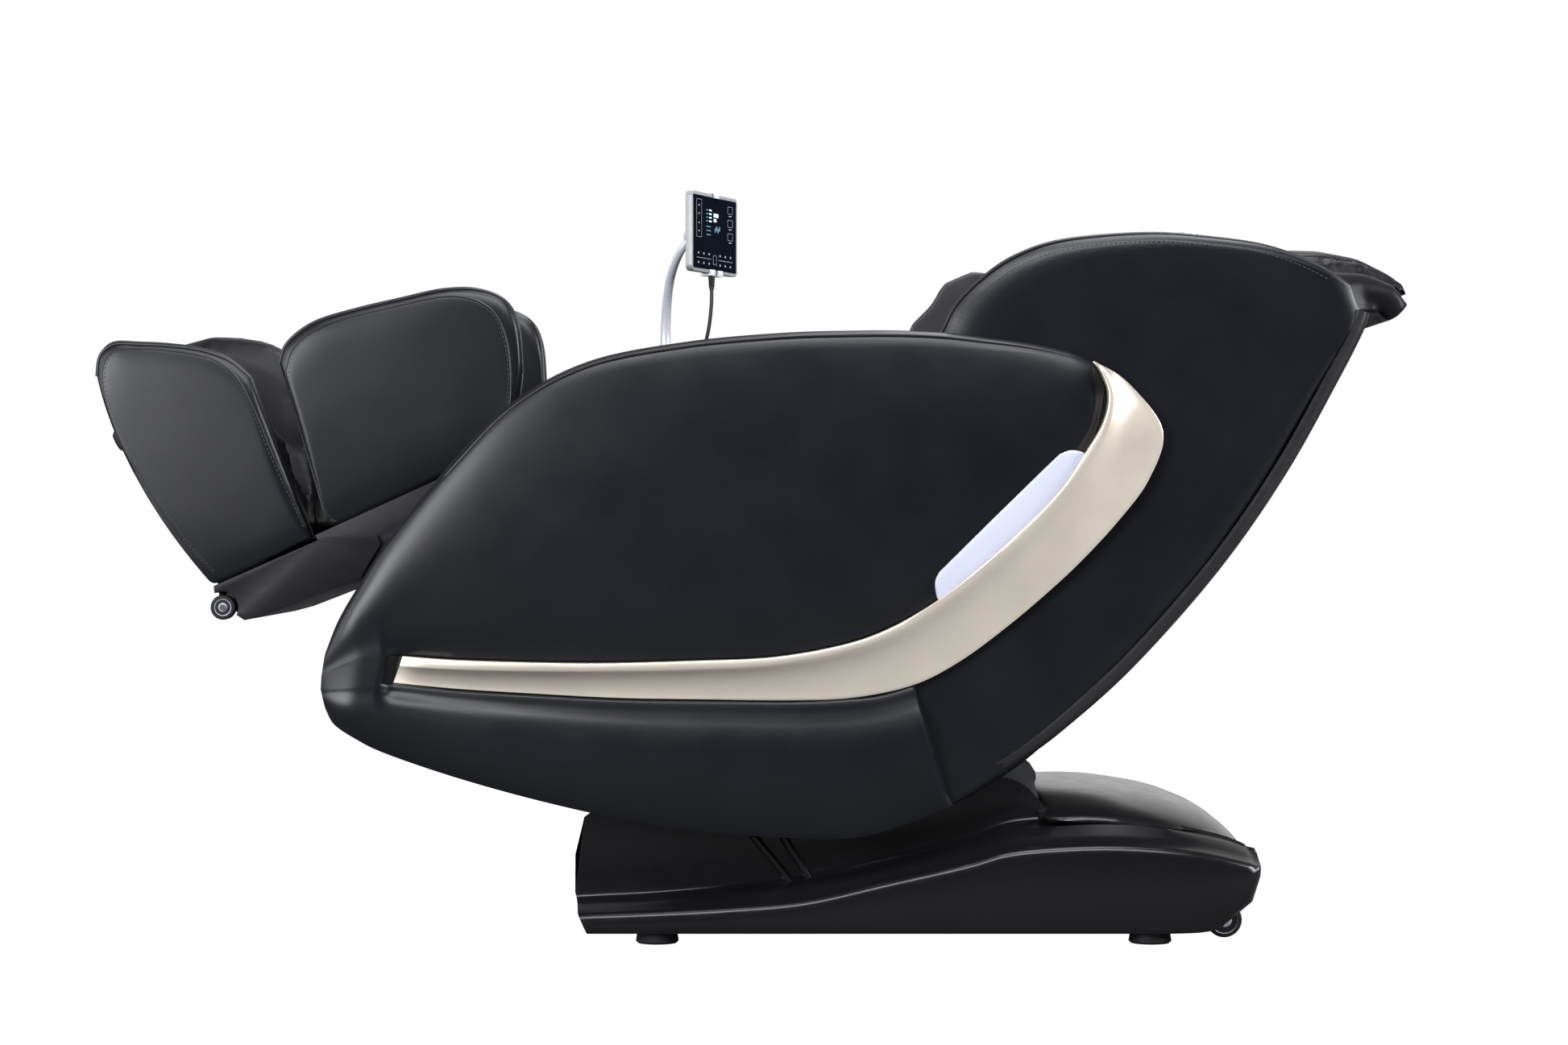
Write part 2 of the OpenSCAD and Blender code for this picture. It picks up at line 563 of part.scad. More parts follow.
module seat_cushion() {
    top = curve([[-326, 672], [-322, 704], [-300, 722], [-250, 720], [-150, 672], [-20, 606], [80, 556],
        [130, 530], [146, 500]], 1);
    under = [[-322, 641], [-318, 639.5], [-300, 632], [-250, 611], [-150, 569], [-20, 515], [80, 473],
        [130, 452.5], [140, 448.5]];
    ys = [1, 0.97, 0.86, 0.66, 0.6, 0.3, 0, -0.3, -0.6, -0.66, -0.86, -0.97, -1];
    rise = [-34, -8, 8, 0, -9, 1, 3, 1, -9, 0, 8, -8, -34];
    half = plate_in - 8;
    front = [for (i = [0 : len(top) - 1]) [for (j = [0 : 12]) let (k = ease(i / 2) * ease((8 - i) / 2),
        p = top[i] + [0, rise[j] * (0.3 + 0.7 * k)]) [p[0], half * ys[j], p[1]]]];
    back = [for (i = [0 : len(top) - 1]) [for (j = [0 : 12]) [under[i][0], half * ys[j], under[i][1]]]];
    color("#25262b") skin(front, back);
}

module belly_pan() {
    path = curve([[-338, 566], [-150, 432], [60, 322], [200, 276]], 3);
    color("#17171a") difference() {
        slab(strip(path, -4), -plate_in, plate_in);
        // Slots let the air for the pump through
        for (i = [-3 : 3]) translate([-60, i * 60 - 5, 335]) cube([70, 10, 60]);
    }
}

// ---- Backrest ------------------------------------------------------------

// The massage track runs straight behind the cushion; its frame has X along the track
track_foot = [300, 455];
track_angle = 37.5;
track_len = 530;
track_w = 14;
track_y = 120;
track_z = -60;
carriage_at = 88;
module in_track() {
    translate([track_foot[0], 0, track_foot[1]]) rotate([0, -track_angle, 0]) children();
}

// Rear line of the backrest from the head down to the hip
rear_line = curve([[820, 846], [812, 822], [780, 759], [708, 630], [618, 501], [504, 372],
    [408, 286], [349, 243], [318, 226]], 2);
shell_side = 18;

module back_frame() {
    plate = [[-140, -14], [-128, 8], [-108, 14], [-70, -12], [-20, -40], [500, -40], [500, -72],
        [0, -72], [-80, -58], [-132, -46]];
    color("#3a3b3e") difference() {
        in_track() {
            slab_pair(plate, rail_in, rail_out);
            for (x = [-40, 480]) translate([x, -rail_out, track_z - 14]) cube([20, 2 * rail_out, 14]);
            for (s = [-1, 1]) translate([-40, s * (track_y + track_w / 2) - track_w / 2, track_z])
                cube([track_len + 10, track_w, track_w]);
            // Spacers carry the side wings
            for (x = [170, 300, 430]) bar_pair([x, -56], 24, rail_out - 1, wing_in_top);
        }
        bar_pair(back_pivot, back_pin_d - 4, rail_in - 1, rail_out - 3);
    }
    // Pivot pins that turn in the side plates of the seat frame
    color("#8d9096") {
        bar_pair(back_pivot, back_pin_d, rail_out - 4, plate_out + 1);
    }
}

module back_shell() {
    ys = [wing_out, wing_out - 1, wing_out - 10, wing_out - 46, 150, 0, -150, -wing_out + 46,
        -wing_out + 10, -wing_out + 1, -wing_out];
    fold = [[0, -3], [150, -2], [wing_out - 46, 0], [wing_out - 10, 2.5], [wing_out - 1, 10],
        [wing_out, shell_side]];
    path = rear_line;
    grid = function (d) [for (i = [0 : len(path) - 1]) let (n = inward(path, i)) [for (y = ys) let (
        p = path[i] + n * (max(lookup(abs(y), fold), 0) + d)) [p[0], y - sign(y) * min(d, abs(y)), p[1]]]];
    color("#1d1d20") difference() {
        skin(grid(0), grid(cover_wall + 1));
        // The lower end is cut out between the sides, round the seat frame and its posts
        translate([300, -inner_wall - 15, 200]) cube([96, 2 * inner_wall + 30, 100]);
    }
}

// Front and top edge of the side wings
wing_edge = curve([[192, 174], [150, 262], [124, 371], [150, 500], [188, 650], [216, 780],
        [243, 824], [262, 860], [298, 896], [343, 926], [407, 947], [515, 956], [600, 951], [680, 939],
        [745, 915], [790, 888]], 2);

module back_wing(side) {
    front = wing_edge;
    middle = curve([[228, 186], [262, 262], [300, 371], [340, 450], [395, 545], [440, 640],
        [470, 680], [495, 715], [525, 745], [560, 770], [600, 800], [650, 826], [690, 840], [735, 850],
        [775, 858], [798, 864]], 2);
    rear = curve([[259, 191], [300, 238], [350, 264], [398, 300], [450, 344], [500, 390],
        [535, 425], [570, 465], [600, 502], [630, 545], [660, 590], [690, 638], [725, 700], [758, 760],
        [785, 810], [805, 848]], 2);
    vs = [0, 0.04, 0.3, 0.7, 0.97, 1];
    edge = [14, 4, 0, 0, 6, 12];
    n = len(front) - 1;
    face = function (outer) [for (i = [0 : n]) [for (j = [0 : 5]) let (
        p = bent(front[i], middle[i], rear[i], vs[j]), close = min(ease((i + 1) / 3), ease((n - i + 1) / 3)),
        low = 1 - ease((p[1] - 470) / 80))
        [p[0], outer ? -wing_out + edge[j] + (1 - close) * 8 : -mix(wing_in_top, wing_in_low, low), p[1]]]];
    color("#25262b") sided(side) skin(face(true), face(false));
}

// Surface the back lies on, from the hip to the top of the head end
back_line = curve([[176, 462], [206, 474], [250, 500], [325, 556], [400, 612], [475, 672], [550, 730],
    [625, 788], [690, 838], [735, 872], [790, 894], [840, 897], [880, 886], [895, 868], [880, 850]], 1);

module back_cushion() {
    under = [[180, 444], [214, 448], [266, 468], [349, 521], [430, 580], [505, 639], [580, 697],
        [652, 753], [712, 800], [757, 834], [800, 850], [838, 856], [858, 854], [862, 846], [858, 840]];
    ys = [1, 0.98, 0.9, 0.74, 0.7, 0.66, 0.4, 0.2, 0, -0.2, -0.4, -0.66, -0.7, -0.74, -0.9, -0.98, -1];
    rise = [-22, 2, 16, 14, -6, 2, 5, 6, 1, 6, 5, 2, -6, 14, 16, 2, -22];
    n = len(back_line) - 1;
    half = [for (i = [0 : n]) mix(plate_in - 20, wing_in_top - seat_gap,
        ease((back_line[i][0] - 270) / 80)) - ease((back_line[i][0] - 700) / 150) * 60];
    front = [for (i = [0 : n]) [for (j = [0 : 16]) let (k = ease((i + 0.6) / 2.5) * ease((n - i) / 5),
        p = back_line[i] - inward(back_line, i) * rise[j] * k) [p[0], half[i] * ys[j], p[1]]]];
    back = [for (i = [0 : n]) [for (j = [0 : 16]) [under[i][0], half[i] * ys[j], under[i][1]]]];
    color("#25262b") skin(front, back);
}

module head_pillow() {
    top = [[604, 818], [622, 858], [655, 900], [694, 932], [736, 947], [785, 942], [838, 930],
        [880, 907], [906, 888]];
    under = [[608, 784], [630, 802], [660, 825], [700, 856], [742, 887], [790, 905], [842, 909],
        [884, 894], [902, 882]];
    ys = [1, 0.96, 0.82, 0.6, 0.3, 0, -0.3, -0.6, -0.82, -0.96, -1];
    full = [0.08, 0.55, 0.86, 0.98, 0.93, 0.9, 0.93, 0.98, 0.86, 0.55, 0.08];
    half = 152;
    front = [for (i = [0 : 8]) [for (j = [0 : 10]) let (p = mix(under[i], top[i], full[j]))
        [p[0], half * ys[j], p[1]]]];
    back = [for (i = [0 : 8]) [for (j = [0 : 10]) let (p = under[i] + [0.6, -0.7]) [p[0], half * ys[j], p[1]]]];
    color("#25262b") skin(front, back);
}

module shoulder_pod(side) {
    upper = curve([[190, 798], [206, 838], [231, 863], [250, 894], [289, 911], [345, 905], [410, 872],
        [452, 826]], 1);
    lower = curve([[196, 776], [222, 752], [250, 735], [282, 722], [320, 716], [368, 724], [420, 752],
        [458, 796]], 1);
    vs = [0, 0.1, 0.3, 0.5, 0.7, 0.9, 1];
    puff = [0, 0.5, 0.9, 1, 0.9, 0.5, 0];
    n = len(upper) - 1;
    y_of = function (i, j) puff[j] * ease((i + 1) / 4) * ease((n - i + 1) / 4);
    front = [for (i = [0 : n]) [for (j = [0 : 6]) let (p = mix(upper[i], lower[i], vs[j]))
        [p[0], -(wing_in_top - seat_gap - 2 * (1 - y_of(i, j))), p[1]]]];
    back = [for (i = [0 : n]) [for (j = [0 : 6]) let (p = mix(upper[i], lower[i], vs[j]))
        [p[0], -(wing_in_top - 22 - 36 * y_of(i, j)), p[1]]]];
    color("#2a2b30") sided(side) skin(front, back);
}

module speakers() {
    a = wing_edge[23];
    b = wing_edge[24];
    at = mix(a, b, 0.5);
    color("#8d93a6") for (s = [-1, 1]) translate([at[0], s * (wing_in_top + 32), at[1]])
        rotate([0, atan2(a[1] - b[1], b[0] - a[0]), 0])
        difference() {
            rotate_extrude() polygon([[0, 0], [15, 0], [14, 4], [12, 5.5], [0, 6]]);
            for (a = [0 : 60 : 300]) rotate(a) translate([7, 0, 3]) cylinder(d = 2.4, h = 5);
        }
}

// ---- Massage carriage ----------------------------------------------------

knead_z = -50;
head_reach = 60;
head_z = -22;
cheek_y = 95;

module carriage_frame() {
    color("#55575c") in_track() translate([carriage_at, 0, 0]) difference() {
        union() {
            for (s = [-1, 1]) {
                translate([-45, s * (cheek_y + 3) - 3, -88]) cube([90, 6, 50]);
                // Shoes above and below each track rail
                for (z = [track_z - 6 - pin_play, track_z + track_w + pin_play], x = [-42, 22])
                    translate([x, s > 0 ? cheek_y + 5 : -track_y - track_w, z])
                        cube([20, track_y + track_w - cheek_y - 5, 6]);
            }
            translate([-45, -cheek_y, -88]) cube([90, 2 * cheek_y, 4]);
            translate([-34, -60, -84]) cube([44, 120, 22]);
            // Motor
            translate([28, 90, -71.5]) rotate([90, 0, 0]) cylinder(d = 26, h = 110);
        }
        bar_pair([0, knead_z], 16 + 2 * pin_play, cheek_y - 1, cheek_y + 7);
    }
}

module kneading_arms() {
    arm_y = head_spread / 2 - 18;
    arm = outline([[-72, head_z - 2], [-60, head_z + 9], [-40, head_z - 4], [0, knead_z + 16],
        [40, head_z - 4], [60, head_z + 9], [72, head_z - 2], [60, head_z - 14], [30, knead_z + 2],
        [0, knead_z - 8], [-30, knead_z + 2], [-60, head_z - 14]], 3);
    color("#8d9096") in_track() translate([carriage_at, 0, 0]) {
        bar([0, knead_z], 16, -cheek_y - 6, cheek_y + 6);
        slab_pair(arm, arm_y - 3, arm_y + 3);
        for (x = [-head_reach, head_reach]) bar_pair([x, head_z], 10, arm_y + 2, head_spread / 2 + 14);
    }
}

module massage_heads(x) {
    color("#b9a98c") in_track() for (s = [-1, 1])
        translate([carriage_at + x, s * (head_spread / 2), head_z]) rotate([90, 0, 0])
            rotate_extrude() polygon(concat([[5 + pin_play, -12], [14, -12]],
                [for (a = [-80 : 16 : 80]) [head_d / 2 - 10 + 10 * cos(a), 12 * sin(a)]],
                [[14, 12], [5 + pin_play, 12]]));
}

// ---- Leg rest ------------------------------------------------------------

// Its frame has X along the legs towards the knee pivot and Z out of the calf surface
module in_leg() {
    translate([knee_pivot[0], 0, knee_pivot[1]]) rotate([0, -leg_angle, 0]) children();
}
leg_y = legrest_w / 2;
leg_in = leg_y - leg_side_t;
shell_out = leg_y - 9;
shell_wall = 4;
knee_face = -331;
rod_y = 180;
rod_d = 14;

module calf_frame() {
    color("#3a3b3e") in_leg() {
        difference() {
            slab_pair([[-232, -11], [-232, 14], [-20, 18], [16, 14], [18, -10], [0, -18]],
                shell_out - 14, shell_out - 8);
            bar_pair([0, 0], 5, shell_out - 15, shell_out - 9);
        }
        bar_pair([0, 0], knee_pin_d, shell_out - 9, plate_out + 1);
        // Cross plates hold the bushes of the foot rods
        for (x = [-230, -140], s = [-1, 1]) difference() {
            union() {
                translate([x, s > 0 ? rod_y : -shell_out + 9, -13]) cube([20, shell_out - 9 - rod_y, 26]);
                bar_x(x, s * rod_y, 26, 20);
            }
            bar_x(x - 1, s * rod_y, rod_d + 2 * pin_play, 22);
        }
        translate([-222, -rod_y + 10, -13]) cube([12, 2 * rod_y - 20, 26]);
    }
}

// Round bar along the legs, from x, at y
module bar_x(x, y, d, len) {
    translate([x, y, 0]) rotate([0, 90, 0]) cylinder(d = d, h = len);
}

module calf_shell() {
    outer = [[-242, 33], [-242, -10], [-230, -23], [-40, -27], [10, -30], [34, -22], [44, 0], [44, 33]];
    inner = [for (p = outer) [p[0] + (p[0] < -200 ? shell_wall : -shell_wall),
        p[1] > 30 ? p[1] + 1 : p[1] + shell_wall]];
    color("#302e33") in_leg() difference() {
        slab(outer, -shell_out, shell_out);
        slab(inner, -shell_out + shell_wall, shell_out - shell_wall);
        bar_pair([0, 0], knee_pin_d + 2, shell_out - 6, shell_out + 1);
        for (s = [-1, 1]) bar_x(-250, s * rod_y, rod_d + 4, 14);
    }
}

module calf_side(side) {
    top = curve([[-656, 788], [-646, 815], [-610, 843], [-553, 861], [-489, 876], [-433, 888],
        [-385, 888], [-347, 872], [-329, 835], [-324, 772]], 1);
    low = curve([[-590, 566], [-583, 563], [-560, 571], [-515, 592], [-470, 613], [-430, 632],
        [-395, 648], [-370, 660], [-350, 668], [-336, 674]], 1);
    vs = [0, 0.05, 0.18, 0.5, 0.82, 0.95, 1];
    edge = [16, 6, 1.5, 0, 1.5, 5, 9];
    n = len(top) - 1;
    face = function (outer) [for (i = [0 : n]) [for (j = [0 : 6]) let (p = mix(top[i], low[i], vs[j]),
            e = max(edge[j], i == 0 || i == n ? 9 : 0))
        [p[0], outer ? -leg_y + e : -leg_in - (j == 0 ? 12 : j == 1 ? 4 : 0), p[1]]]];
    color("#25262b") sided(side) skin(face(true), face(false));
}

module calf_cushion() {
    us = [-204, -192, -140, -80, -20, 40];
    // Place along the legs; the last two columns lie along the front of the seat cushion
    along = function (i, w) i < 6 ? us[i] + (i < 2 ? 0.12 * w : 0)
        : (knee_face - knee_pivot[0] + w * sin(leg_angle)) / cos(leg_angle) - 14 * (7 - i);
    // Depth of the wells along the legs, and the section across them
    deep = [0.86, 1, 1, 1, 0.98, 0.72, 0.45, 0.3];
    ys = [1, 0.93, 0.8, 0.57, 0.36, 0.22, 0.155, 0.11, 0, -0.11, -0.155, -0.22, -0.36, -0.57, -0.8,
        -0.93, -1];
    rise = [150, 92, 48, 34, 46, 88, 140, 164, 170, 164, 140, 88, 46, 34, 48, 92, 150];
    half = leg_in - seat_gap;
    front = [for (i = [0 : 7]) [for (j = [0 : 16]) let (w = 34 + rise[j] * deep[i])
        [along(i, w), half * ys[j], w]]];
    back = [for (i = [0 : 7]) [for (j = [0 : 16]) [i < 6 ? us[i] : along(i, 33.5), half * ys[j], 33.5]]];
    color("#25262b") in_leg() skin(front, back);
}

// ---- Foot section --------------------------------------------------------

heel_axle = [-733, 451];
sole_axle = [-802, 626];
sole_line = curve([[-738, 474], [-777, 521], [-835, 609], [-866, 660], [-893, 712], [-900, 745],
    [-898, 796]], 1);

module foot_frame() {
    color("#3a3b3e") {
        in_leg() {
            for (s = [-1, 1]) bar_x(-372, s * rod_y, rod_d, 342);
            difference() {
                translate([-376, -leg_in - 10, -12]) cube([12, 2 * leg_in + 20, 26]);
                translate([-377, -120, -6]) cube([14, 240, 14]);
            }
        }
        // End plates carry the sole rollers, and pins outside them the heel wheels
        slab_pair([[-740, 486], [-722, 468], [-698, 478], [-700, 500], [-740, 560], [-773, 618],
            [-790, 640], [-812, 656], [-828, 634]], leg_in - 7, leg_in - 2);
        bar_pair(sole_axle, 10, leg_in - 30, leg_in - 6);
        slab_pair([[-743, 446], [-724, 446], [-690, 480], [-712, 484], [-726, 482]], leg_in + 4, leg_in + 9);
        bar_pair(heel_axle, 8, leg_in + 8, leg_y - 2);
    }
}

module foot_shell() {
    outer = [[-396, 27], [-402, 8], [-393, -8], [-377, -33], [-347, -38], [-208, -46], [-186, -30],
        [-165, -16], [-165, -2], [-231, 25]];
    inner = [[-391, 28], [-396, 8], [-388, -6], [-374, -28], [-347, -33], [-208, -41], [-188, -27],
        [-150, -3], [-150, 1], [-231, 28]];
    color("#302e33") difference() {
        union() {
            in_leg() difference() {
                slab(outer, -leg_y, leg_y);
                slab(inner, -leg_y + 5, leg_y - 5);
                translate([-240, -leg_y + 5, -26.5]) cube([100, 2 * leg_y - 10, 60]);
            }
            slab(strip(sole_line, 5), -leg_in + 0.3, leg_in - 0.3);
        }
        // Arches for the heel wheels
        bar_pair(heel_axle, heel_wheel_d + 10, leg_in + 3.7, leg_y + 1);
    }
}

module foot_side(side) {
    top = curve([[-906, 770], [-902, 799], [-884, 815], [-850, 815], [-810, 813], [-765, 807],
        [-727, 793], [-697, 768]], 1);
    mid = curve([[-868, 660], [-860, 662], [-832, 668], [-800, 672], [-760, 672], [-720, 670],
        [-682, 668], [-657, 664]], 1);
    low = curve([[-752, 487], [-744, 484], [-728, 489], [-705, 500], [-680, 512], [-655, 524],
        [-634, 535], [-611, 545]], 1);
    vs = [0, 0.05, 0.18, 0.45, 0.8, 0.95, 1];
    edge = [16, 6, 1.5, 0, 1.5, 5, 9];
    n = len(top) - 1;
    face = function (outer) [for (i = [0 : n]) [for (j = [0 : 6]) let (
            p = bent(top[i], mid[i], low[i], vs[j], 0.4), e = max(edge[j], i == 0 || i == n ? 9 : 0))
        [p[0], outer ? -leg_y + e : -leg_in - (j == 0 ? 12 : j == 1 ? 4 : 0), p[1]]]];
    color("#25262b") sided(side) skin(face(true), face(false));
}

module foot_cushion() {
    // Floor of the wells from the toe flange down the sole and along the heel, and the rims above
    floor_line = [[-892, 806], [-866, 811], [-830, 808], [-814, 770], [-800, 728], [-776, 680],
        [-752, 640], [-726, 602], [-700, 584], [-664, 584], [-634, 594]];
    rim_line = [[-892, 810], [-866, 818], [-837, 822], [-815, 828], [-790, 834], [-760, 832],
        [-736, 829], [-712, 824], [-690, 814], [-672, 790], [-656, 742]];
    under = [[-890, 797], [-866, 797], [-846, 793], [-838, 752], [-822, 708], [-800, 664], [-776, 630],
        [-750, 590], [-716, 556], [-672, 540], [-620, 563]];
    ys = [1, 0.94, 0.82, 0.57, 0.36, 0.24, 0.155, 0.1, 0, -0.1, -0.155, -0.24, -0.36, -0.57, -0.82,
        -0.94, -1];
    up = [0.62, 0.4, 0.12, 0, 0.1, 0.42, 0.84, 0.97, 1, 0.97, 0.84, 0.42, 0.1, 0, 0.12, 0.4, 0.62];
    half = leg_in - seat_gap;
    n = len(floor_line) - 1;
    front = [for (i = [0 : n]) [for (j = [0 : 16]) let (p = mix(floor_line[i], rim_line[i], up[j]))
        [p[0], half * ys[j], p[1]]]];
    back = [for (i = [0 : n]) [for (j = [0 : 16]) [under[i][0], half * ys[j], under[i][1]]]];
    color("#25262b") skin(front, back);
}

module sole_rollers() {
    r = sole_roller_d / 2;
    color("#b9a98c") translate([sole_axle[0], 0, sole_axle[1]]) rotate([90, 0, 0]) difference() {
        union() {
            cylinder(d = 18, h = 2 * leg_in - 18, center = true);
            for (s = [-1, 1], k = [-1, 0, 1]) translate([0, 0, s * 108 + k * 44]) rotate_extrude()
                polygon([[0, -18], [r - 9, -18], [r - 3, -11], [r, 0], [r - 3, 11], [r - 9, 18], [0, 18]]);
        }
        cylinder(d = 10 + 2 * pin_play, h = 2 * leg_in, center = true);
    }
}

module heel_wheel(side) {
    color("#3a3a40") translate([heel_axle[0], side * (leg_in + 25), heel_axle[1]])
        rotate([90, 0, 0]) wheel_profile(heel_wheel_d, 18, 4 + pin_play, 6);
}

module sole_bumpers() {
    a = sole_line[3];
    b = sole_line[4];
    at = mix(a, b, 0.5);
    color("#141416") for (s = [-1, 1]) translate([at[0], s * 150, at[1]])
        rotate([0, atan2(b[0] - a[0], b[1] - a[1]) - 90, 0])
            rotate_extrude() polygon([[0, 0], [20, 0], [20, 4], [17, 12], [12, 17], [0, 19]]);
}

// ---- Remote --------------------------------------------------------------

tablet_at = [-74, 200, 997];
tablet_turn = 67;
module in_tablet() {
    translate(tablet_at) rotate([0, 0, tablet_turn]) children();
}
post_route = [[-146, 300, 803], [-146, 300, 832], [-146, 299, 856], [-145, 294, 880],
    [-143, 284, 903], [-140, 270, 925], [-135, 254, 944], [-128, 238, 961], [-120, 225, 975],
    [-110, 216, 989]];
ball_d = 24;
ball_back = 33;
ball_at = tablet_at + ball_back * [-sin(tablet_turn), cos(tablet_turn), 0];

module post_housing() {
    color("#26272a") translate([post_at[0], post_at[1], 0]) difference() {
        union() {
            translate([0, 0, post_floor - 3]) cylinder(d = housing_d, h = 14);
            translate([0, 0, post_floor + 11]) cylinder(d1 = housing_d, d2 = housing_d - 14, h = 6);
        }
        translate([0, 0, post_floor]) cylinder(d = post_foot_d + 9 + 2 * pin_play, h = 30);
    }
}

module tablet_post() {
    color("#b8bcc8") {
        translate([post_at[0], post_at[1], post_floor]) cylinder(d = post_foot_d + 9, h = 28);
        swept_tube(post_route, [for (i = [0 : 9]) mix(post_foot_d, post_top_d, i / 9) / 2], 16, [1, 0, 0]);
        // Ball that the holder tilts on, and the gland of the cord on its side
        translate(ball_at) sphere(d = ball_d);
        translate([post_at[0], post_at[1], 812.5]) rotate([90, 0, 35]) translate([0, 0, 10])
            cylinder(d = 9, h = 18);
    }
}

module tablet_holder() {
    depth = tablet_t / 2 + 1;
    color("#c4c7ce") in_tablet() difference() {
        union() {
            // Back plate, socket for the ball and two pairs of claws over the edges of the case
            translate([-30, depth, -34]) cube([60, 3, 68]);
            translate([0, depth + 3, 0]) rotate([-90, 0, 0])
                cylinder(d = 34, h = ball_back - depth - 4);
            for (x = [-22, 6]) {
                translate([x, depth, -tablet_h / 2 - 4]) cube([16, 3, tablet_h / 2]);
                translate([x, -tablet_t / 2 - 3.5, -tablet_h / 2 - 4]) cube([16, tablet_t + 5, 3]);
                translate([x, -tablet_t / 2 - 3.5, -tablet_h / 2 - 4]) cube([16, 2.5, 9]);
            }
            translate([-8, depth, 30]) cube([16, 3, tablet_h / 2 - 26]);
            translate([-8, -tablet_t / 2 - 3.5, tablet_h / 2 + 1]) cube([16, tablet_t + 5, 3]);
            translate([-8, -tablet_t / 2 - 3.5, tablet_h / 2 - 6]) cube([16, 2.5, 10]);
        }
        translate([0, ball_back, 0]) sphere(d = ball_d + 1);
    }
}

module tablet_case() {
    r = 9;
    color("#e8e6e4") in_tablet() difference() {
        union() {
            cube([tablet_w - 2 * r, tablet_t, tablet_h], center = true);
            cube([tablet_w, tablet_t, tablet_h - 2 * r], center = true);
            for (x = [-1, 1], z = [-1, 1]) translate([x * (tablet_w / 2 - r), tablet_t / 2, z * (tablet_h / 2 - r)])
                rotate([90, 0, 0]) cylinder(r = r, h = tablet_t);
        }
        translate([-tablet_w / 2 + 5, -tablet_t / 2 - 1, -tablet_h / 2 + 5])
            cube([tablet_w - 10, 3, tablet_h - 10]);
    }
}

module tablet_screen() {
    color("#08090b") in_tablet()
        translate([-tablet_w / 2 + 5.1, -tablet_t / 2 - 0.4, -tablet_h / 2 + 5.1])
            cube([tablet_w - 10.2, 2.3, tablet_h - 10.2]);
}

module strain_relief() {
    color("#1c1c1e") in_tablet() translate([0, 0, -tablet_h / 2]) difference() {
        rotate_extrude() polygon([[0, 0], [0, -24], [3.4, -24], [3.6, -21], [4.4, -20.5], [3.8, -19],
            [4.8, -16], [4, -14.5], [5, -12], [4.4, -10], [5, -8], [5, 0]]);
        translate([0, 0, -25]) cylinder(d = cord_d + 0.4, h = 6);
    }
}

// Free length of the cord, from the tablet down and round to the foot of the post
cord_route = [[-74, 200, 914.5], [-74, 200, 900], [-75, 200, 884], [-77, 201, 866], [-80, 203, 849],
    [-84, 207, 834], [-90, 214, 823], [-98, 225, 816], [-107, 240, 813], [-115, 254, 812.5],
    [-123, 267, 812.5], [-130, 277, 812.5]];
module tablet_cord() {
    color("#222226") swept_tube(cord_route, [for (p = cord_route) cord_d / 2], 8, [1, 0, 0]);
}

// ---- Nodes ---------------------------------------------------------------

base_frame();
base_side_cover(-1);  // base_side_cover_left
base_side_cover(1);  // base_side_cover_right
base_front_panel();
base_rear_cover();
base_feet();
transport_wheel(-1);  // transport_wheel_left
transport_wheel(1);  // transport_wheel_right
power_inlet();
power_switch();
power_supply();
air_pump();
seat_frame();
arm_frame(-1);  // arm_frame_left
arm_frame(1);  // arm_frame_right
arm_side_pad(-1);  // arm_side_pad_left
arm_side_pad(1);  // arm_side_pad_right
arm_trim(-1);  // arm_trim_left
arm_trim(1);  // arm_trim_right
light_panel(-1);  // light_panel_left
light_panel(1);  // light_panel_right
armrest_pad(-1);  // armrest_pad_left
armrest_pad(1);  // armrest_pad_right
seat_cushion();
belly_pan();
back_frame();
back_shell();
back_wing(-1);  // back_wing_left
back_wing(1);  // back_wing_right
back_cushion();
head_pillow();
shoulder_pod(-1);  // shoulder_pod_left
shoulder_pod(1);  // shoulder_pod_right
speakers();
carriage_frame();
kneading_arms();
massage_heads(head_reach);  // upper_massage_heads
massage_heads(-head_reach);  // lower_massage_heads
calf_frame();
calf_shell();
calf_side(-1);  // calf_side_left
calf_side(1);  // calf_side_right
calf_cushion();
foot_frame();
foot_shell();
foot_side(-1);  // foot_side_left
foot_side(1);  // foot_side_right
foot_cushion();
sole_rollers();
heel_wheel(-1);  // heel_wheel_left
heel_wheel(1);  // heel_wheel_right
sole_bumpers();
post_housing();
tablet_post();
tablet_holder();
tablet_case();
tablet_screen();
strain_relief();
tablet_cord();
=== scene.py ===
# Reclining massage chair: how each piece looks, built round the fixed frame.
# Lengths are in millimetres in the lists and become metres where a mesh is made.
import math

import bmesh
import bpy
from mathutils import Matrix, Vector
from mathutils.bvhtree import BVHTree


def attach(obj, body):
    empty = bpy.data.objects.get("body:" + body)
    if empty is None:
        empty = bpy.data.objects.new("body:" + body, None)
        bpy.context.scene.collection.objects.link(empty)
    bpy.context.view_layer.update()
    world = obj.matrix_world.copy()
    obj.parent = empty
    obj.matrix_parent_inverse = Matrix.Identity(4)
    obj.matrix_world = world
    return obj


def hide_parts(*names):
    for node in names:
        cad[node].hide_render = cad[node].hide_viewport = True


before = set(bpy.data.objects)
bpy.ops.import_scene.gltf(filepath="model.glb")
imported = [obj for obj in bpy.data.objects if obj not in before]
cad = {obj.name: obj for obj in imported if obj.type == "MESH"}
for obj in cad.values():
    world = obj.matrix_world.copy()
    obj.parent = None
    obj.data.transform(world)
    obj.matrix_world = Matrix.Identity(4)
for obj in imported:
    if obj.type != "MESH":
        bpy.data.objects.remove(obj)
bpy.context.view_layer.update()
scene = bpy.context.scene

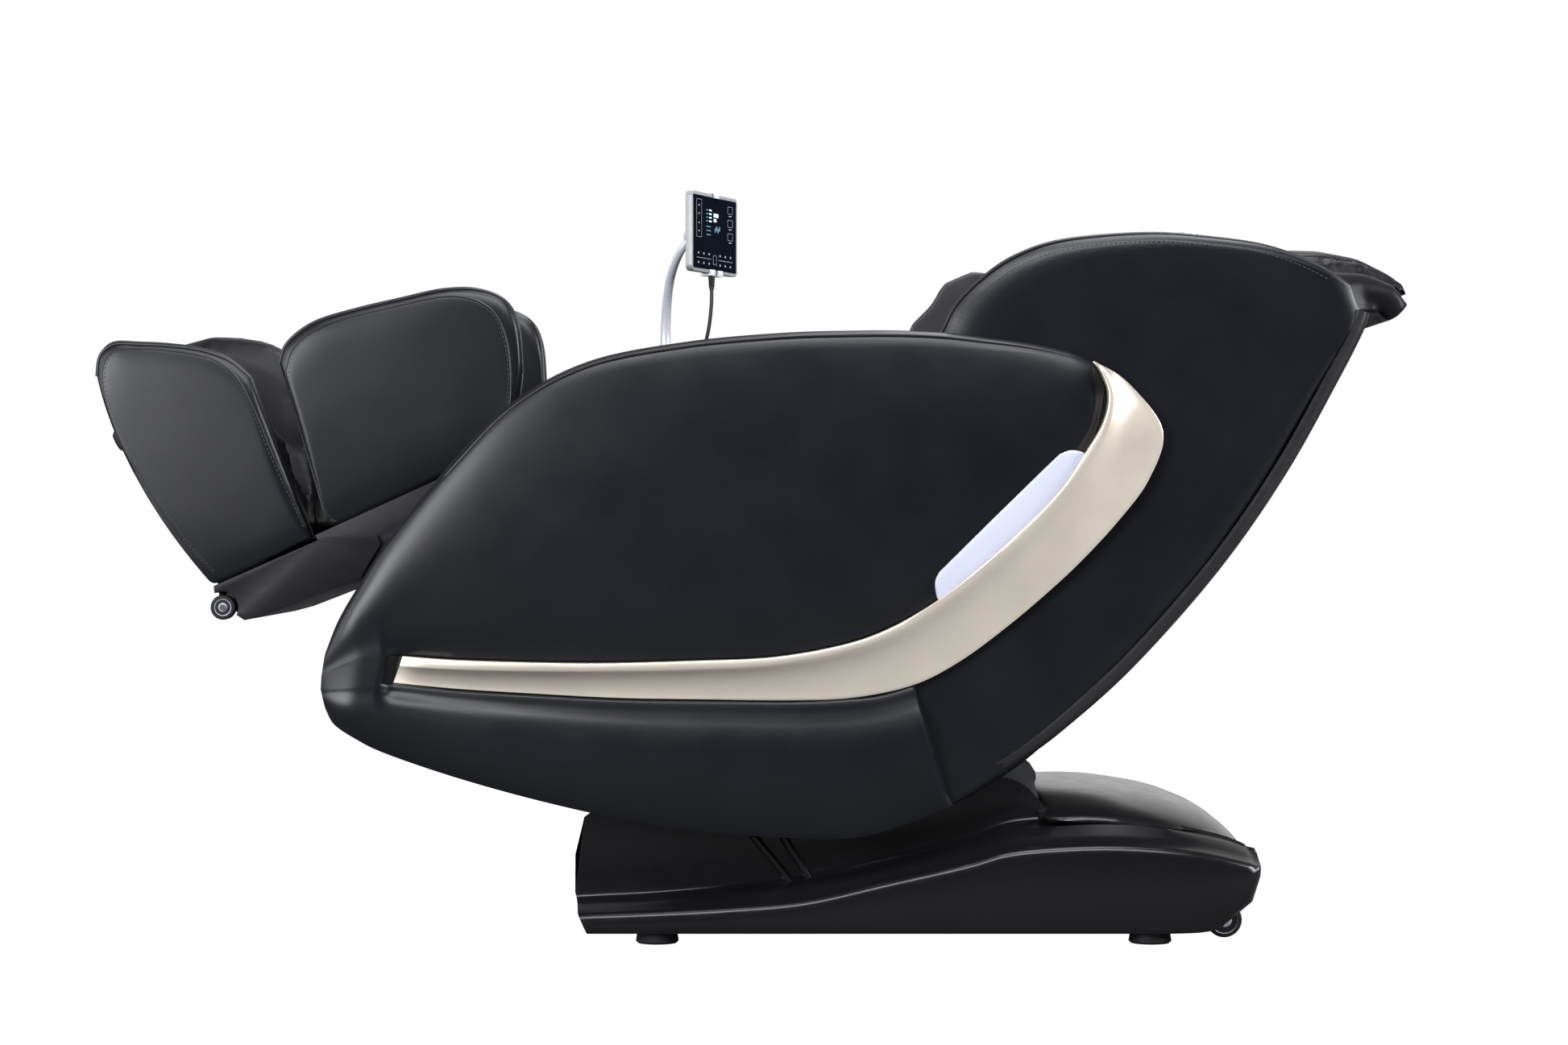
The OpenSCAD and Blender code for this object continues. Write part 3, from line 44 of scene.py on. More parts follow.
# ---- Room and camera -----------------------------------------------------
# A plain white studio floor under big soft lamps. The floor shows the camera white, and still
# takes the chair's soft shadow.
camera = bpy.data.objects.new("camera", bpy.data.cameras.new("camera"))
scene.collection.objects.link(camera)
camera.data.lens = 80
camera.data.sensor_width = 36
camera.data.clip_end = 60
camera.location = (0.034, -5.0, 0.567)
camera.rotation_euler = (math.radians(90), 0, 0)
scene.camera = camera
scene.view_settings.view_transform = "Standard"


def white_to_camera(tree):
    """Mask that is 1 where the camera looks straight at the white, or through glass."""
    path = tree.nodes.new("ShaderNodeLightPath")
    both = tree.nodes.new("ShaderNodeMath")
    both.operation = "MAXIMUM"
    tree.links.new(path.outputs["Is Camera Ray"], both.inputs[0])
    tree.links.new(path.outputs["Is Transmission Ray"], both.inputs[1])
    return both.outputs[0]


def scaled_mask(tree, mask, times):
    step = tree.nodes.new("ShaderNodeMath")
    step.operation = "MULTIPLY"
    tree.links.new(mask, step.inputs[0])
    step.inputs[1].default_value = times
    return step.outputs[0]


floor_paint = bpy.data.materials.new("floor_paint")
floor_paint.use_nodes = True
tree = floor_paint.node_tree
tree.nodes.clear()
matt = tree.nodes.new("ShaderNodeBsdfDiffuse")
matt.inputs["Color"].default_value = (0.15, 0.15, 0.155, 1)
glow = tree.nodes.new("ShaderNodeEmission")
glow.inputs["Color"].default_value = (1, 1, 1, 1)
glow.inputs["Strength"].default_value = 1.2
blend_floor = tree.nodes.new("ShaderNodeMixShader")
tree.links.new(scaled_mask(tree, white_to_camera(tree), 0.86), blend_floor.inputs[0])
tree.links.new(matt.outputs[0], blend_floor.inputs[1])
tree.links.new(glow.outputs[0], blend_floor.inputs[2])
surface = tree.nodes.new("ShaderNodeOutputMaterial")
tree.links.new(blend_floor.outputs[0], surface.inputs[0])

floor_mesh = bpy.data.meshes.new("floor")
floor_mesh.from_pydata([(-9, -9, 0), (9, -9, 0), (9, 9, 0), (-9, 9, 0)], [], [(0, 1, 2, 3)])
floor_mesh.materials.append(floor_paint)
floor = bpy.data.objects.new("floor", floor_mesh)
scene.collection.objects.link(floor)

studio = bpy.data.worlds.new("studio")
scene.world = studio
studio.use_nodes = True
tree = studio.node_tree
backdrop = tree.nodes["Background"]
backdrop.inputs["Color"].default_value = (1, 1, 1, 1)
# The room is white behind the chair and dark in front of it
toward_wall = tree.nodes.new("ShaderNodeSeparateXYZ")
tree.links.new(tree.nodes.new("ShaderNodeTexCoord").outputs["Generated"], toward_wall.inputs[0])
wall_light = tree.nodes.new("ShaderNodeMapRange")
tree.links.new(toward_wall.outputs["Y"], wall_light.inputs["Value"])
wall_light.inputs["From Min"].default_value = -0.1
wall_light.inputs["From Max"].default_value = 0.8
wall_light.inputs["To Min"].default_value = 0.03
wall_light.inputs["To Max"].default_value = 0.9
room = tree.nodes.new("ShaderNodeMath")
room.operation = "MAXIMUM"
tree.links.new(white_to_camera(tree), room.inputs[0])
tree.links.new(wall_light.outputs[0], room.inputs[1])
tree.links.new(room.outputs[0], backdrop.inputs["Strength"])


def soft_lamp(name, place, aim, width, height, watts):
    lamp = bpy.data.lights.new(name, "AREA")
    lamp.shape = "RECTANGLE"
    lamp.size = width
    lamp.size_y = height
    lamp.energy = watts
    lamp.color = (0.95, 0.96, 1.0)
    holder = bpy.data.objects.new(name, lamp)
    scene.collection.objects.link(holder)
    holder.location = place
    holder.rotation_euler = (Vector(aim) - Vector(place)).to_track_quat("-Z", "Y").to_euler()


soft_lamp("lamp_overhead", (0.5, -0.2, 3.2), (0.2, -0.1, 0.4), 2.8, 1.2, 110)
soft_lamp("lamp_crown", (0.0, -2.9, 3.3), (0.1, -0.3, 0.75), 3.0, 0.9, 140)
soft_lamp("lamp_left", (-2.7, -4.0, 1.5), (-0.3, -0.3, 0.6), 1.8, 2.0, 225)
soft_lamp("lamp_nose", (-3.4, -1.6, 1.3), (-0.7, -0.25, 0.55), 1.8, 2.0, 60)
soft_lamp("lamp_right", (3.0, -1.3, 1.6), (0.35, -0.3, 0.55), 1.2, 1.8, 150)


# ---- Remote cord ---------------------------------------------------------
# A limp black cable hangs from the underside of the tablet, bends forward of the armrest and
# goes into a gland at the foot of the post.
def effect_group(name, grained=True):
    """Empty shader effect: two colours, grain and a range of shine go in, and a look comes out."""
    group = bpy.data.node_groups.new(name, "ShaderNodeTree")
    taken = ["Colour", "Second colour"] + ["Grain"] * grained + ["Shine low", "Shine high"]
    for way, labels in (("INPUT", taken), ("OUTPUT", ["Colour", "Roughness", "Height"])):
        for label in labels:
            kind = "NodeSocketColor" if label.lower().endswith("colour") else "NodeSocketFloat"
            group.interface.new_socket(label, in_out=way, socket_type=kind)
    return group, group.nodes.new("NodeGroupInput"), group.nodes.new("NodeGroupOutput")


def add_noise(group, coords, scale, detail=3.0, stretch=None):
    """Cloudy mask over the piece; stretch draws it out along the axes."""
    noise = group.nodes.new("ShaderNodeTexNoise")
    noise.inputs["Detail"].default_value = detail
    if stretch:
        mapping = group.nodes.new("ShaderNodeMapping")
        mapping.inputs["Scale"].default_value = stretch
        group.links.new(coords, mapping.inputs["Vector"])
        coords = mapping.outputs[0]
    group.links.new(coords, noise.inputs["Vector"])
    if isinstance(scale, (int, float)):
        noise.inputs["Scale"].default_value = scale
    else:
        group.links.new(scale, noise.inputs["Scale"])
    return noise.outputs[0]


def remap(group, value, low, high, to_low, to_high):
    """Part of a mask, spread out again; the target ends may be sockets."""
    step = group.nodes.new("ShaderNodeMapRange")
    group.links.new(value, step.inputs["Value"])
    step.inputs["From Min"].default_value = low
    step.inputs["From Max"].default_value = high
    for key, end in (("To Min", to_low), ("To Max", to_high)):
        if isinstance(end, (int, float)):
            step.inputs[key].default_value = end
        else:
            group.links.new(end, step.inputs[key])
    return step.outputs[0]


def tint(group, mask, one, two):
    mix = group.nodes.new("ShaderNodeMix")
    mix.data_type = "RGBA"
    group.links.new(mask, mix.inputs["Factor"])
    group.links.new(one, mix.inputs["A"])
    group.links.new(two, mix.inputs["B"])
    return mix.outputs["Result"]


def add_up(group, one, two, share):
    """one plus a share of two."""
    step = group.nodes.new("ShaderNodeMath")
    step.operation = "MULTIPLY_ADD"
    group.links.new(two, step.inputs[0])
    step.inputs[1].default_value = share
    group.links.new(one, step.inputs[2])
    return step.outputs[0]


# Moulded skin: fine spark-eroded texture, slight flow clouds in colour and shine
moulded, given, out = effect_group("moulded_skin")
place = moulded.nodes.new("ShaderNodeTexCoord").outputs["Object"]
flow = remap(moulded, add_noise(moulded, place, 7.0), 0.35, 0.7, 0.0, 1.0)
grit = add_noise(moulded, place, given.outputs["Grain"], 2.0)
scuffs = remap(moulded, add_noise(moulded, place, 38.0, 5.0, (1.0, 1.0, 3.0)), 0.3, 0.75, 0.0, 1.0)
moulded.links.new(tint(moulded, flow, given.outputs["Colour"], given.outputs["Second colour"]),
                  out.inputs["Colour"])
moulded.links.new(remap(moulded, scuffs, 0.0, 1.0, given.outputs["Shine low"],
                        given.outputs["Shine high"]), out.inputs["Roughness"])
moulded.links.new(add_up(moulded, grit, flow, 0.3), out.inputs["Height"])


SOCKETS = {"specular": "Specular IOR Level", "coat": "Coat Weight", "metal": "Metallic"}


def finish(name, effect, colours, grain, shine, bump, depth_mm, **plain):
    """Material with one effect on a Principled shader; plain sets sockets of the shader itself."""
    material = bpy.data.materials.new(name)
    material.use_nodes = True
    tree = material.node_tree
    shader = tree.nodes["Principled BSDF"]
    look = tree.nodes.new("ShaderNodeGroup")
    look.node_tree = effect
    for key, value in zip(("Colour", "Second colour"), colours):
        look.inputs[key].default_value = (*value, 1)
    for key, value in zip(("Shine low", "Shine high"), shine):
        look.inputs[key].default_value = value
    if grain:
        look.inputs["Grain"].default_value = grain
    relief = tree.nodes.new("ShaderNodeBump")
    relief.inputs["Strength"].default_value = bump
    relief.inputs["Distance"].default_value = depth_mm * 0.001
    tree.links.new(look.outputs["Colour"], shader.inputs["Base Color"])
    tree.links.new(look.outputs["Roughness"], shader.inputs["Roughness"])
    tree.links.new(look.outputs["Height"], relief.inputs["Height"])
    tree.links.new(relief.outputs["Normal"], shader.inputs["Normal"])
    for key, value in plain.items():
        shader.inputs[SOCKETS[key]].default_value = value
    return material


cable_rubber = finish("cable_rubber", moulded, [(0.012, 0.012, 0.015), (0.02, 0.02, 0.024)], 1500,
                      (0.42, 0.6), 0.2, 0.1, specular=0.3)

cord_route = [(-74, 200, 914.5), (-74, 200, 900), (-75, 200, 884), (-77, 201, 866), (-80, 203, 849),
              (-84, 207, 834), (-90, 214, 823), (-98, 225, 816), (-107, 240, 813),
              (-115, 254, 812.5), (-123, 267, 812.5), (-130, 277, 812.5)]
cord_d = 5.6
cord_line = bpy.data.curves.new("remote_cord", "CURVE")
cord_line.dimensions = "3D"
cord_line.bevel_depth = cord_d / 2000
cord_line.bevel_resolution = 4
cord_line.resolution_u = 6
run = cord_line.splines.new("BEZIER")
run.bezier_points.add(len(cord_route) - 1)
for knot, at in zip(run.bezier_points, cord_route):
    knot.co = Vector(at) * 0.001
    knot.handle_left_type = knot.handle_right_type = "AUTO"
cord_line.materials.append(cable_rubber)
cord = bpy.data.objects.new("remote_cord", cord_line)
scene.collection.objects.link(cord)
cord_steps = zip(cord_route, cord_route[1:])
cord_length = sum((Vector(b) - Vector(a)).length for a, b in cord_steps) * 0.001
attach(cord, "remote_post")
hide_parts("tablet_cord")


# ---- Remote post ---------------------------------------------------------
# A drawn aluminium tube, satin anodised, that tapers as it bends forward. It turns in a moulded
# housing let into the right armrest and ends in a ball.
def dress(names, material):
    """A finish for pieces whose shape is right as it is."""
    for name in names:
        mesh = cad[name].data
        if not mesh.materials:
            mesh.materials.append(material)
        for slot in cad[name].material_slots:
            slot.material = material


def curve(points, n):
    """Smooth open curve through a few points, with n steps between neighbours."""
    last = len(points) - 1
    found = []
    for i in range(last):
        a, b, c, d = (Vector(points[max(i - 1, 0)]), Vector(points[i]), Vector(points[i + 1]),
                      Vector(points[min(i + 2, last)]))
        for j in range(n):
            t = j / n
            found.append(0.5 * (2 * b + (c - a) * t + (2 * a - 5 * b + 4 * c - d) * t * t
                                + (3 * b - a - 3 * c + d) * t * t * t))
    return found + [Vector(points[last])]


def tube(route, radii, sides=10):
    """Corners and faces of a tube along a route, with its radius at each point."""
    route = [Vector(p) for p in route]
    corners, faces = [], []
    across = None
    for i, at in enumerate(route):
        ahead = (route[min(i + 1, len(route) - 1)] - route[max(i - 1, 0)]).normalized()
        if across is None:
            across = ahead.orthogonal().normalized()
        across = (across - ahead * across.dot(ahead)).normalized()
        up = ahead.cross(across)
        for k in range(sides):
            turn = 2 * math.pi * k / sides
            corners.append(at + radii[i] * (math.cos(turn) * across + math.sin(turn) * up))
        if i:
            for k in range(sides):
                a, b = (i - 1) * sides + k, (i - 1) * sides + (k + 1) % sides
                faces.append((a, b, b + sides, a + sides))
    faces.append(tuple(range(sides))[::-1])
    faces.append(tuple(range((len(route) - 1) * sides, len(route) * sides)))
    return corners, faces


def smooth(mesh, sharp=None):
    """Smooth shading, with an edge wherever the faces turn by more than sharp degrees."""
    mesh.polygons.foreach_set("use_smooth", [True] * len(mesh.polygons))
    if sharp:
        mesh.set_sharp_from_angle(angle=math.radians(sharp))


def piece(name, corners, faces, material, body, slot, stands_for=(), sharp=40):
    """A finished piece from corners in millimetres."""
    mesh = bpy.data.meshes.new(name)
    mesh.from_pydata([Vector(p) * 0.001 for p in corners], [], faces)
    work = bmesh.new()
    work.from_mesh(mesh)
    bmesh.ops.remove_doubles(work, verts=work.verts, dist=1e-6)
    bmesh.ops.recalc_face_normals(work, faces=work.faces)
    work.to_mesh(mesh)
    work.free()
    smooth(mesh, sharp)
    mesh.materials.append(material)
    made = bpy.data.objects.new(name, mesh)
    scene.collection.objects.link(made)
    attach(made, body)
    if stands_for:
        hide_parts(*stands_for)
    return made


# Drawn or turned metal: fine lines along one way, with darker patches
drawn, given, out = effect_group("drawn_metal", grained=False)
place = drawn.nodes.new("ShaderNodeTexCoord").outputs["Object"]
lines = add_noise(drawn, place, 60.0, 4.0, (14.0, 14.0, 0.8))
patches = remap(drawn, add_noise(drawn, place, 9.0), 0.3, 0.7, 0.0, 1.0)
drawn.links.new(tint(drawn, patches, given.outputs["Colour"], given.outputs["Second colour"]),
                out.inputs["Colour"])
drawn.links.new(remap(drawn, lines, 0.3, 0.7, given.outputs["Shine low"],
                      given.outputs["Shine high"]), out.inputs["Roughness"])
drawn.links.new(lines, out.inputs["Height"])

satin_tube = finish("satin_tube", drawn, [(0.6, 0.62, 0.67), (0.54, 0.56, 0.62)], None,
                    (0.26, 0.38), 0.08, 0.05, metal=0.35)
housing_plastic = finish("housing_plastic", moulded, [(0.011, 0.011, 0.013), (0.016, 0.016, 0.018)],
        1100, (0.35, 0.48), 0.15, 0.1, specular=0.3)

post_foot = (-146, 300, 790)
post_route = [(-146, 300, 803), (-146, 300, 832), (-146, 299, 856), (-145, 294, 880),
              (-143, 284, 903), (-140, 270, 925), (-135, 254, 944), (-128, 238, 961),
              (-120, 225, 975), (-110, 216, 989)]
post_line = curve(post_route, 6)
post_radii = [8.5 - 3.0 * i / (len(post_line) - 1) for i in range(len(post_line))]
corners, faces = tube(post_line, post_radii, 28)


def turned(profile, at, sides=40, axis="z"):
    """Corners and faces of a turned piece; the profile is (radius, height) pairs up the axis."""
    corners, faces = [], []
    for i, (radius, height) in enumerate(profile):
        for k in range(sides):
            turn = 2 * math.pi * k / sides
            a, b = radius * math.cos(turn), radius * math.sin(turn)
            corners.append(Vector(at) + Vector((a, b, height) if axis == "z" else (a, height, b)))
        if i:
            for k in range(sides):
                c, d = (i - 1) * sides + k, (i - 1) * sides + (k + 1) % sides
                faces.append((c, d, d + sides, c + sides))
    faces.append(tuple(range(sides)))
    faces.append(tuple(range((len(profile) - 1) * sides, len(profile) * sides)))
    return corners, faces


def joined(*parts):
    """One list of corners and faces out of several."""
    corners, faces = [], []
    for c, f in parts:
        faces += [tuple(len(corners) + k for k in face) for face in f]
        corners += c
    return corners, faces


tablet_mid = (-74, 200, 997)
tablet_turn = math.radians(67)
ball_r = 12
ball_back = 33
gland_z = 812.5


def on_tablet(x, y, z):
    """A place measured from the middle of the tablet, which is turned toward the sitter."""
    c, s = math.cos(tablet_turn), math.sin(tablet_turn)
    return Vector((tablet_mid[0] + x * c - y * s, tablet_mid[1] + x * s + y * c, tablet_mid[2] + z))


foot_collar = turned([(8.4, 28.0), (11.0, 28.0), (12.6, 27.2), (13.0, 26.0), (13.0, 12.0),
                      (13.0, 0.2), (8.4, 0.2)], post_foot)
ball = turned([(ball_r * math.sin(math.radians(a)) + 0.01, -ball_r * math.cos(math.radians(a)))
               for a in range(0, 181, 9)], on_tablet(0, ball_back, 0))
gland = tube([(post_foot[0] + 0.574 * r, post_foot[1] - 0.819 * r, gland_z) for r in (10, 24, 28)],
             [4.5, 4.5, 3.6], 20)
piece("remote_post_tube", *joined((corners, faces), foot_collar, ball, gland), satin_tube,
      "remote_post", "silver", ("tablet_post",), 35)
piece("post_housing_ring", *turned([(13.6, 13.0), (22.6, 16.8), (24.0, 16.6), (29.4, 11.4),
        (30.0, 10.2), (30.0, -2.9), (13.6, -2.9)], post_foot, 56), housing_plastic, "seat_body",
      "inner_plastic", ("post_housing",), 35)

# ---- Remote --------------------------------------------------------------
# A tablet in a silver-white moulded case, with black glass over its display, clipped into a
# sprung holder whose socket grips the ball of the post.
shell_white = finish("shell_white", moulded, [(0.2, 0.2, 0.205), (0.22, 0.22, 0.225)], 1800,
                     (0.28, 0.4), 0.06, 0.05, specular=0.5)
clip_grey = finish("clip_grey", moulded, [(0.5, 0.51, 0.54), (0.55, 0.56, 0.59)], 1500, (0.3, 0.44),
                   0.08, 0.05, specular=0.5)
display_glass = finish("display_glass", moulded, [(0.003, 0.004, 0.007), (0.004, 0.005, 0.009)],
                       2500, (0.07, 0.12), 0.01, 0.01, specular=0.0)


def lit(name, colour, strength):
    """A lit area of the display, a little uneven from edge to edge."""
    edge_colour = tuple(c * 0.85 for c in colour)
    material = finish(name, moulded, [colour, edge_colour], 400, (0.2, 0.3), 0, 0.01)
    tree = material.node_tree
    shader = tree.nodes["Principled BSDF"]
    tree.links.new(tree.nodes["Group"].outputs["Colour"], shader.inputs["Emission Color"])
    shader.inputs["Emission Strength"].default_value = strength
    return material


lit_white = lit("lit_white", (0.6, 0.8, 0.84), 0.6)
lit_cyan = lit("lit_cyan", (0.06, 0.2, 0.26), 0.4)
print_grey = lit("print_grey", (0.25, 0.27, 0.3), 0.12)


def applied(made):
    """Turns the modifiers of a piece into its mesh."""
    graph = bpy.context.evaluated_depsgraph_get()
    shaped = bpy.data.meshes.new_from_object(made.evaluated_get(graph))
    made.modifiers.clear()
    made.data = shaped
    return made


def rounded(name, width, material, body):
    """A moulded or pressed piece with its sharp edges broken."""
    mesh = cad[name].data.copy()
    work = bmesh.new()
    work.from_mesh(mesh)
    bmesh.ops.remove_doubles(work, verts=work.verts, dist=2e-5)
    bmesh.ops.dissolve_limit(work, angle_limit=math.radians(1.5), verts=work.verts,
            edges=work.edges)
    work.to_mesh(mesh)
    work.free()
    mesh.materials.clear()
    mesh.materials.append(material)
    made = bpy.data.objects.new(name + "_edged", mesh)
    scene.collection.objects.link(made)
    edge = made.modifiers.new("edges", "BEVEL")
    edge.width = width * 0.001
    edge.segments = 3
    edge.limit_method = "ANGLE"
    edge.angle_limit = math.radians(32)
    applied(made)
    smooth(made.data, 30)
    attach(made, body)
    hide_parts(name)
    return made


rounded("tablet_case", 1.8, shell_white, "remote")
rounded("tablet_holder", 0.8, clip_grey, "remote")
dress(["tablet_screen"], display_glass)
dress(["strain_relief"], cable_rubber)


glass_y = -5.68
light_y = -5.95


def lit_block(x0, z0, x1, z1, r):
    """A rounded flat block of light just on the glass."""
    r = min(r, (x1 - x0) / 2 - 0.01, (z1 - z0) / 2 - 0.01)
    rim = [(cx + r * math.cos(math.radians(a)), cz + r * math.sin(math.radians(a))) for cx, cz,
           start in ((x1 - r, z1 - r, 0), (x0 + r, z1 - r, 90), (x0 + r, z0 + r, 180),
                     (x1 - r, z0 + r, 270)) for a in range(start, start + 91, 30)]
    n = len(rim)
    corners = [on_tablet(x, y, z) for y in (glass_y, light_y) for x, z in rim]
    faces = [tuple(range(n)), tuple(range(n, 2 * n))]
    faces += [(k, (k + 1) % n, n + (k + 1) % n, n + k) for k in range(n)]
    return corners, faces


def outline_key(x0, z0, x1, z1):
    w = 0.45
    return joined(lit_block(x0, z0, x1, z0 + w, 0.2), lit_block(x0, z1 - w, x1, z1, 0.2),
                  lit_block(x0, z0 + w, x0 + w, z1 - w, 0.2),
                  lit_block(x1 - w, z0 + w, x1, z1 - w, 0.2))


bars = [lit_block(-22, 33 - 5.4 * k, -13, 35 - 5.4 * k, 0.4) for k in range(4)]
bars += [lit_block(-5, 25, 11, 30.5, 0.4), lit_block(-5, 18, 4, 22.5, 0.4)]
faint = [lit_block(-32, 33.2 - 5.4 * k, -26, 34.6 - 5.4 * k, 0.4) for k in range(4)]
faint += [lit_block(-32, 9 - 6 * k, -16, 10.2 - 6 * k, 0.4) for k in range(3)]
faint += [lit_block(-1 + 5 * k, 2 + 3 * (k % 2), 2 + 5 * k, 9 + 3 * (k % 2), 1.2) for k in range(4)]
keys = [outline_key(-67, -8, -49, 48)]
keys += [outline_key(46, 34 - 20 * k, 64, 45 - 20 * k) for k in range(3)]
keys += [outline_key(-7, -46, 5, -32), lit_block(-66, -38.6, -14, -38, 0.2),
         lit_block(12, -38.6, 64, -38, 0.2)]
keys += [lit_block(x, z, x + 4, z + 3, 0.8) for x in (-62, -43, -24, 16, 35, 54)
         for z in (-47, -33)]
keys += [lit_block(-60, z, -56, z + 2, 0.5) for z in (0, 12, 26, 38)]
keys += [lit_block(50, 30 - 20 * k, 60, 31.4 - 20 * k, 0.4) for k in range(3)]
piece("display_bars", *joined(*bars), lit_white, "remote", "screen")
piece("display_signs", *joined(*faint), lit_cyan, "remote", "screen")
piece("display_keys", *joined(*keys), print_grey, "remote", "screen")


# ---- Base covers ---------------------------------------------------------
# Black polypropylene mouldings, satin with a fine texture. A wide ledge sweeps up the skirt to
# the rear; the inner wall has two slanted ribs. They clip over the steel base frame.
base_black = finish("base_black", moulded, [(0.004, 0.004, 0.0045), (0.0048, 0.0048, 0.0054)], 1300,
                    (0.2, 0.26), 0.05, 0.06, specular=0.28)
SIDES = ((-1, "left"), (1, "right"))
skirt_y = 338.0
wall_y = 276.0
cover_wall = 3.0
ledge = curve([(-254, 44), (-137, 48), (-13, 55), (70, 64), (170, 87), (280, 112), (332, 127),
               (400, 134), (480, 136), (560, 131), (620, 122), (680, 106)], 8)
ledge_seam = curve([(-254, 50), (-117, 57), (38, 74), (160, 100), (280, 129), (336, 150),
                    (403, 157), (475, 160), (530, 156), (585, 147), (641, 135), (680, 118)], 8)
wall_top = [(-254, 168), (-235, 175), (-100, 184), (100, 196), (300, 216), (327, 222), (346, 219),
            (364, 208), (378, 193), (388, 184), (393, 174), (470, 170), (540, 160), (590, 150),
            (680, 122)]
base_front = [(16, -230), (44, -243), (69, -250), (90, -253), (123, -248), (175, -235), (200, -230)]
base_rear = [(15, 590), (19, 618), (35, 645), (54, 665), (79, 676), (102, 678), (121, 674),
             (150, 660)]
rear_start = 540.0


def along(line, at):
    """Value of a line of (place, value) pairs at a place."""
    if at <= line[0][0]:
        return line[0][1]
    for a, b in zip(line, line[1:]):
        if at <= b[0]:
            return a[1] + (b[1] - a[1]) * (at - a[0]) / max(b[0] - a[0], 1e-9)
    return line[-1][1]


def mix(a, b, t):
    return a + (b - a) * t


def ease(t):
    t = min(max(t, 0.0), 1.0)
    return t * t * (3 - 2 * t)


def loft(rings):
    """Corners and faces of a closed skin through rings of equal length."""
    n = len(rings[0])
    corners = [Vector(p) for ring in rings for p in ring]
    faces = []
    for i in range(len(rings) - 1):
        for k in range(n):
            a, b = i * n + k, i * n + (k + 1) % n
            faces.append((a, b, b + n, a + n))
    faces.append(tuple(range(n))[::-1])
    faces.append(tuple(range((len(rings) - 1) * n, len(rings) * n)))
    return corners, faces


def cover_section(x, d):
    zl, zs = along(ledge, x), along(ledge_seam, x)
    h = 1.0 if x < 385 else mix(1.0, 0.4, min((x - 385) / 10, 1))
    zt = max(along(wall_top, x), zs + 20 * h)
    w = skirt_y - 14 * (max(x - rear_start, 0) / 140) ** 2
    inner = wall_y - d
    return [(w - 4 - d, 16), (w - 1.2 - d, 18.5), (w - d, 24), (w - d, mix(24, zl - 16, 0.5)),
            (w - d, zl - 16), (w - 1 - d, zl - 9), (w - 4 - d, zl - 3.5 - d * 0.5),
            (w - 9 - d * 0.7, zl - 0.8 - d * 0.8), (w - 14 - d * 0.5, zl - d),
            (w - 26, mix(zl, zs, 0.45) - d), (w - 38, zs - d),
            (mix(inner + 9, w - 38, 0.4), mix(zs, zs + 4 * h, 0.4) - d),
            (inner + 9, zs + 5 * h - d), (inner + 4, zs + 7.5 * h - d * 0.6),
            (inner + 1.2, zs + 11 * h - d * 0.3), (inner, zs + 16 * h),
            (inner, mix(zs + 16 * h, zt, 0.5)), (inner, zt)]


cover_xs = [-254, -249, -243, -234] + [-222 + 12 * k for k in range(64)] + [546, 560, 575, 590, 605,
        620, 634, 647, 658, 667]
for side, word in SIDES:
    rings = []
    corner = [(675, 5, 400), (677.5, 3.2, 321), (679.2, 1.8, 314), (680, 1.0, 306), (680, 0.4, 290),
              (680, 0, 274)]
    for x, back, cap in [(x, 0, 400) for x in cover_xs] + corner:
        ring = []
        for d in (0, cover_wall):
            rows = []
            for y, z in cover_section(x, d):
                if x < -222:
                    px = mix(along(base_front, z), -222, (x + 254) / 32)
                elif x <= rear_start:
                    px = x
                else:
                    px = mix(rear_start, along(base_rear, z), (x - rear_start) / 140)
                px -= back + (d if cap < 400 else 0)
                rows.append((px, side * min(y, cap - (d if cap in (306, 314, 321) else 0)), z))
            ring += rows if d == 0 else rows[::-1]
        rings.append(ring)
    ribs = []
    for top, foot in (((-12, 140), (43, 73)), ((29, 138), (63, 84))):
        ribs.append(loft([[(top[0] + a, side * y, top[1] + b) if up
                           else (foot[0] + a, side * y, foot[1] + b) for a, b,
                           y in ((-2, 0, 275), (0, 0.4, 281), (2.5, 0.8, 283.5), (7.5, 1.4, 283.5),
                (10, 1.7, 281), (12, 2, 275))] for up in (True, False)]))
    piece("base_cover_" + word, *joined(loft(rings), *ribs), base_black, "base", "base_plastic",
          ("base_side_cover_" + word,), 38)

crest = curve([(373, 196), (390, 199.5), (440, 201), (490, 198), (559, 187), (601, 173), (629, 160),
               (655, 139), (674, 116), (678, 95), (674, 72), (664, 50)], 6)
cover_fall = list(enumerate([26, 34, 38, 38, 34, 26, 20, 16, 12, 8, 6, 4]))
cover_narrow = list(enumerate([1, 1, 1, 1, 0.97, 0.93, 0.9, 0.9, 0.9, 0.9, 0.9, 0.9]))
side_drop = [(0, 0), (120, 1.2), (170, 3.4), (220, 8), (262, 16), (280, 21.5), (290, 26), (296, 30),
             (299, 34), (301, 42)]
cover_ys = [301, 300, 299, 297.5, 296, 293, 290, 285, 280, 271, 262, 240, 220, 170, 120, 60, 0]
cover_ys = cover_ys + [-y for y in cover_ys[-2::-1]]


def right_of(line, i):
    """Direction to the right of travel along an (x, z) line."""
    run = line[min(i + 1, len(line) - 1)] - line[max(i - 1, 0)]
    return Vector((run[1], -run[0])).normalized()


def folded_sheet(line, ys, wall, drop, narrow=lambda i: 1):
    """Rings of a sheet that follows an (x, z) line; drop says how far it falls away sideways."""
    rings = []
    for i, at in enumerate(line):
        n = right_of(line, i)
        ring = []
        for d in (0, wall):
            rows = []
            for y in ys:
                p = at + n * (drop(i, abs(y)) + d)
                rows.append((p[0], y * narrow(i) - math.copysign(min(d, abs(y)), y), p[1]))
            ring += rows if d == 0 else rows[::-1]
        rings.append(ring)
    return rings


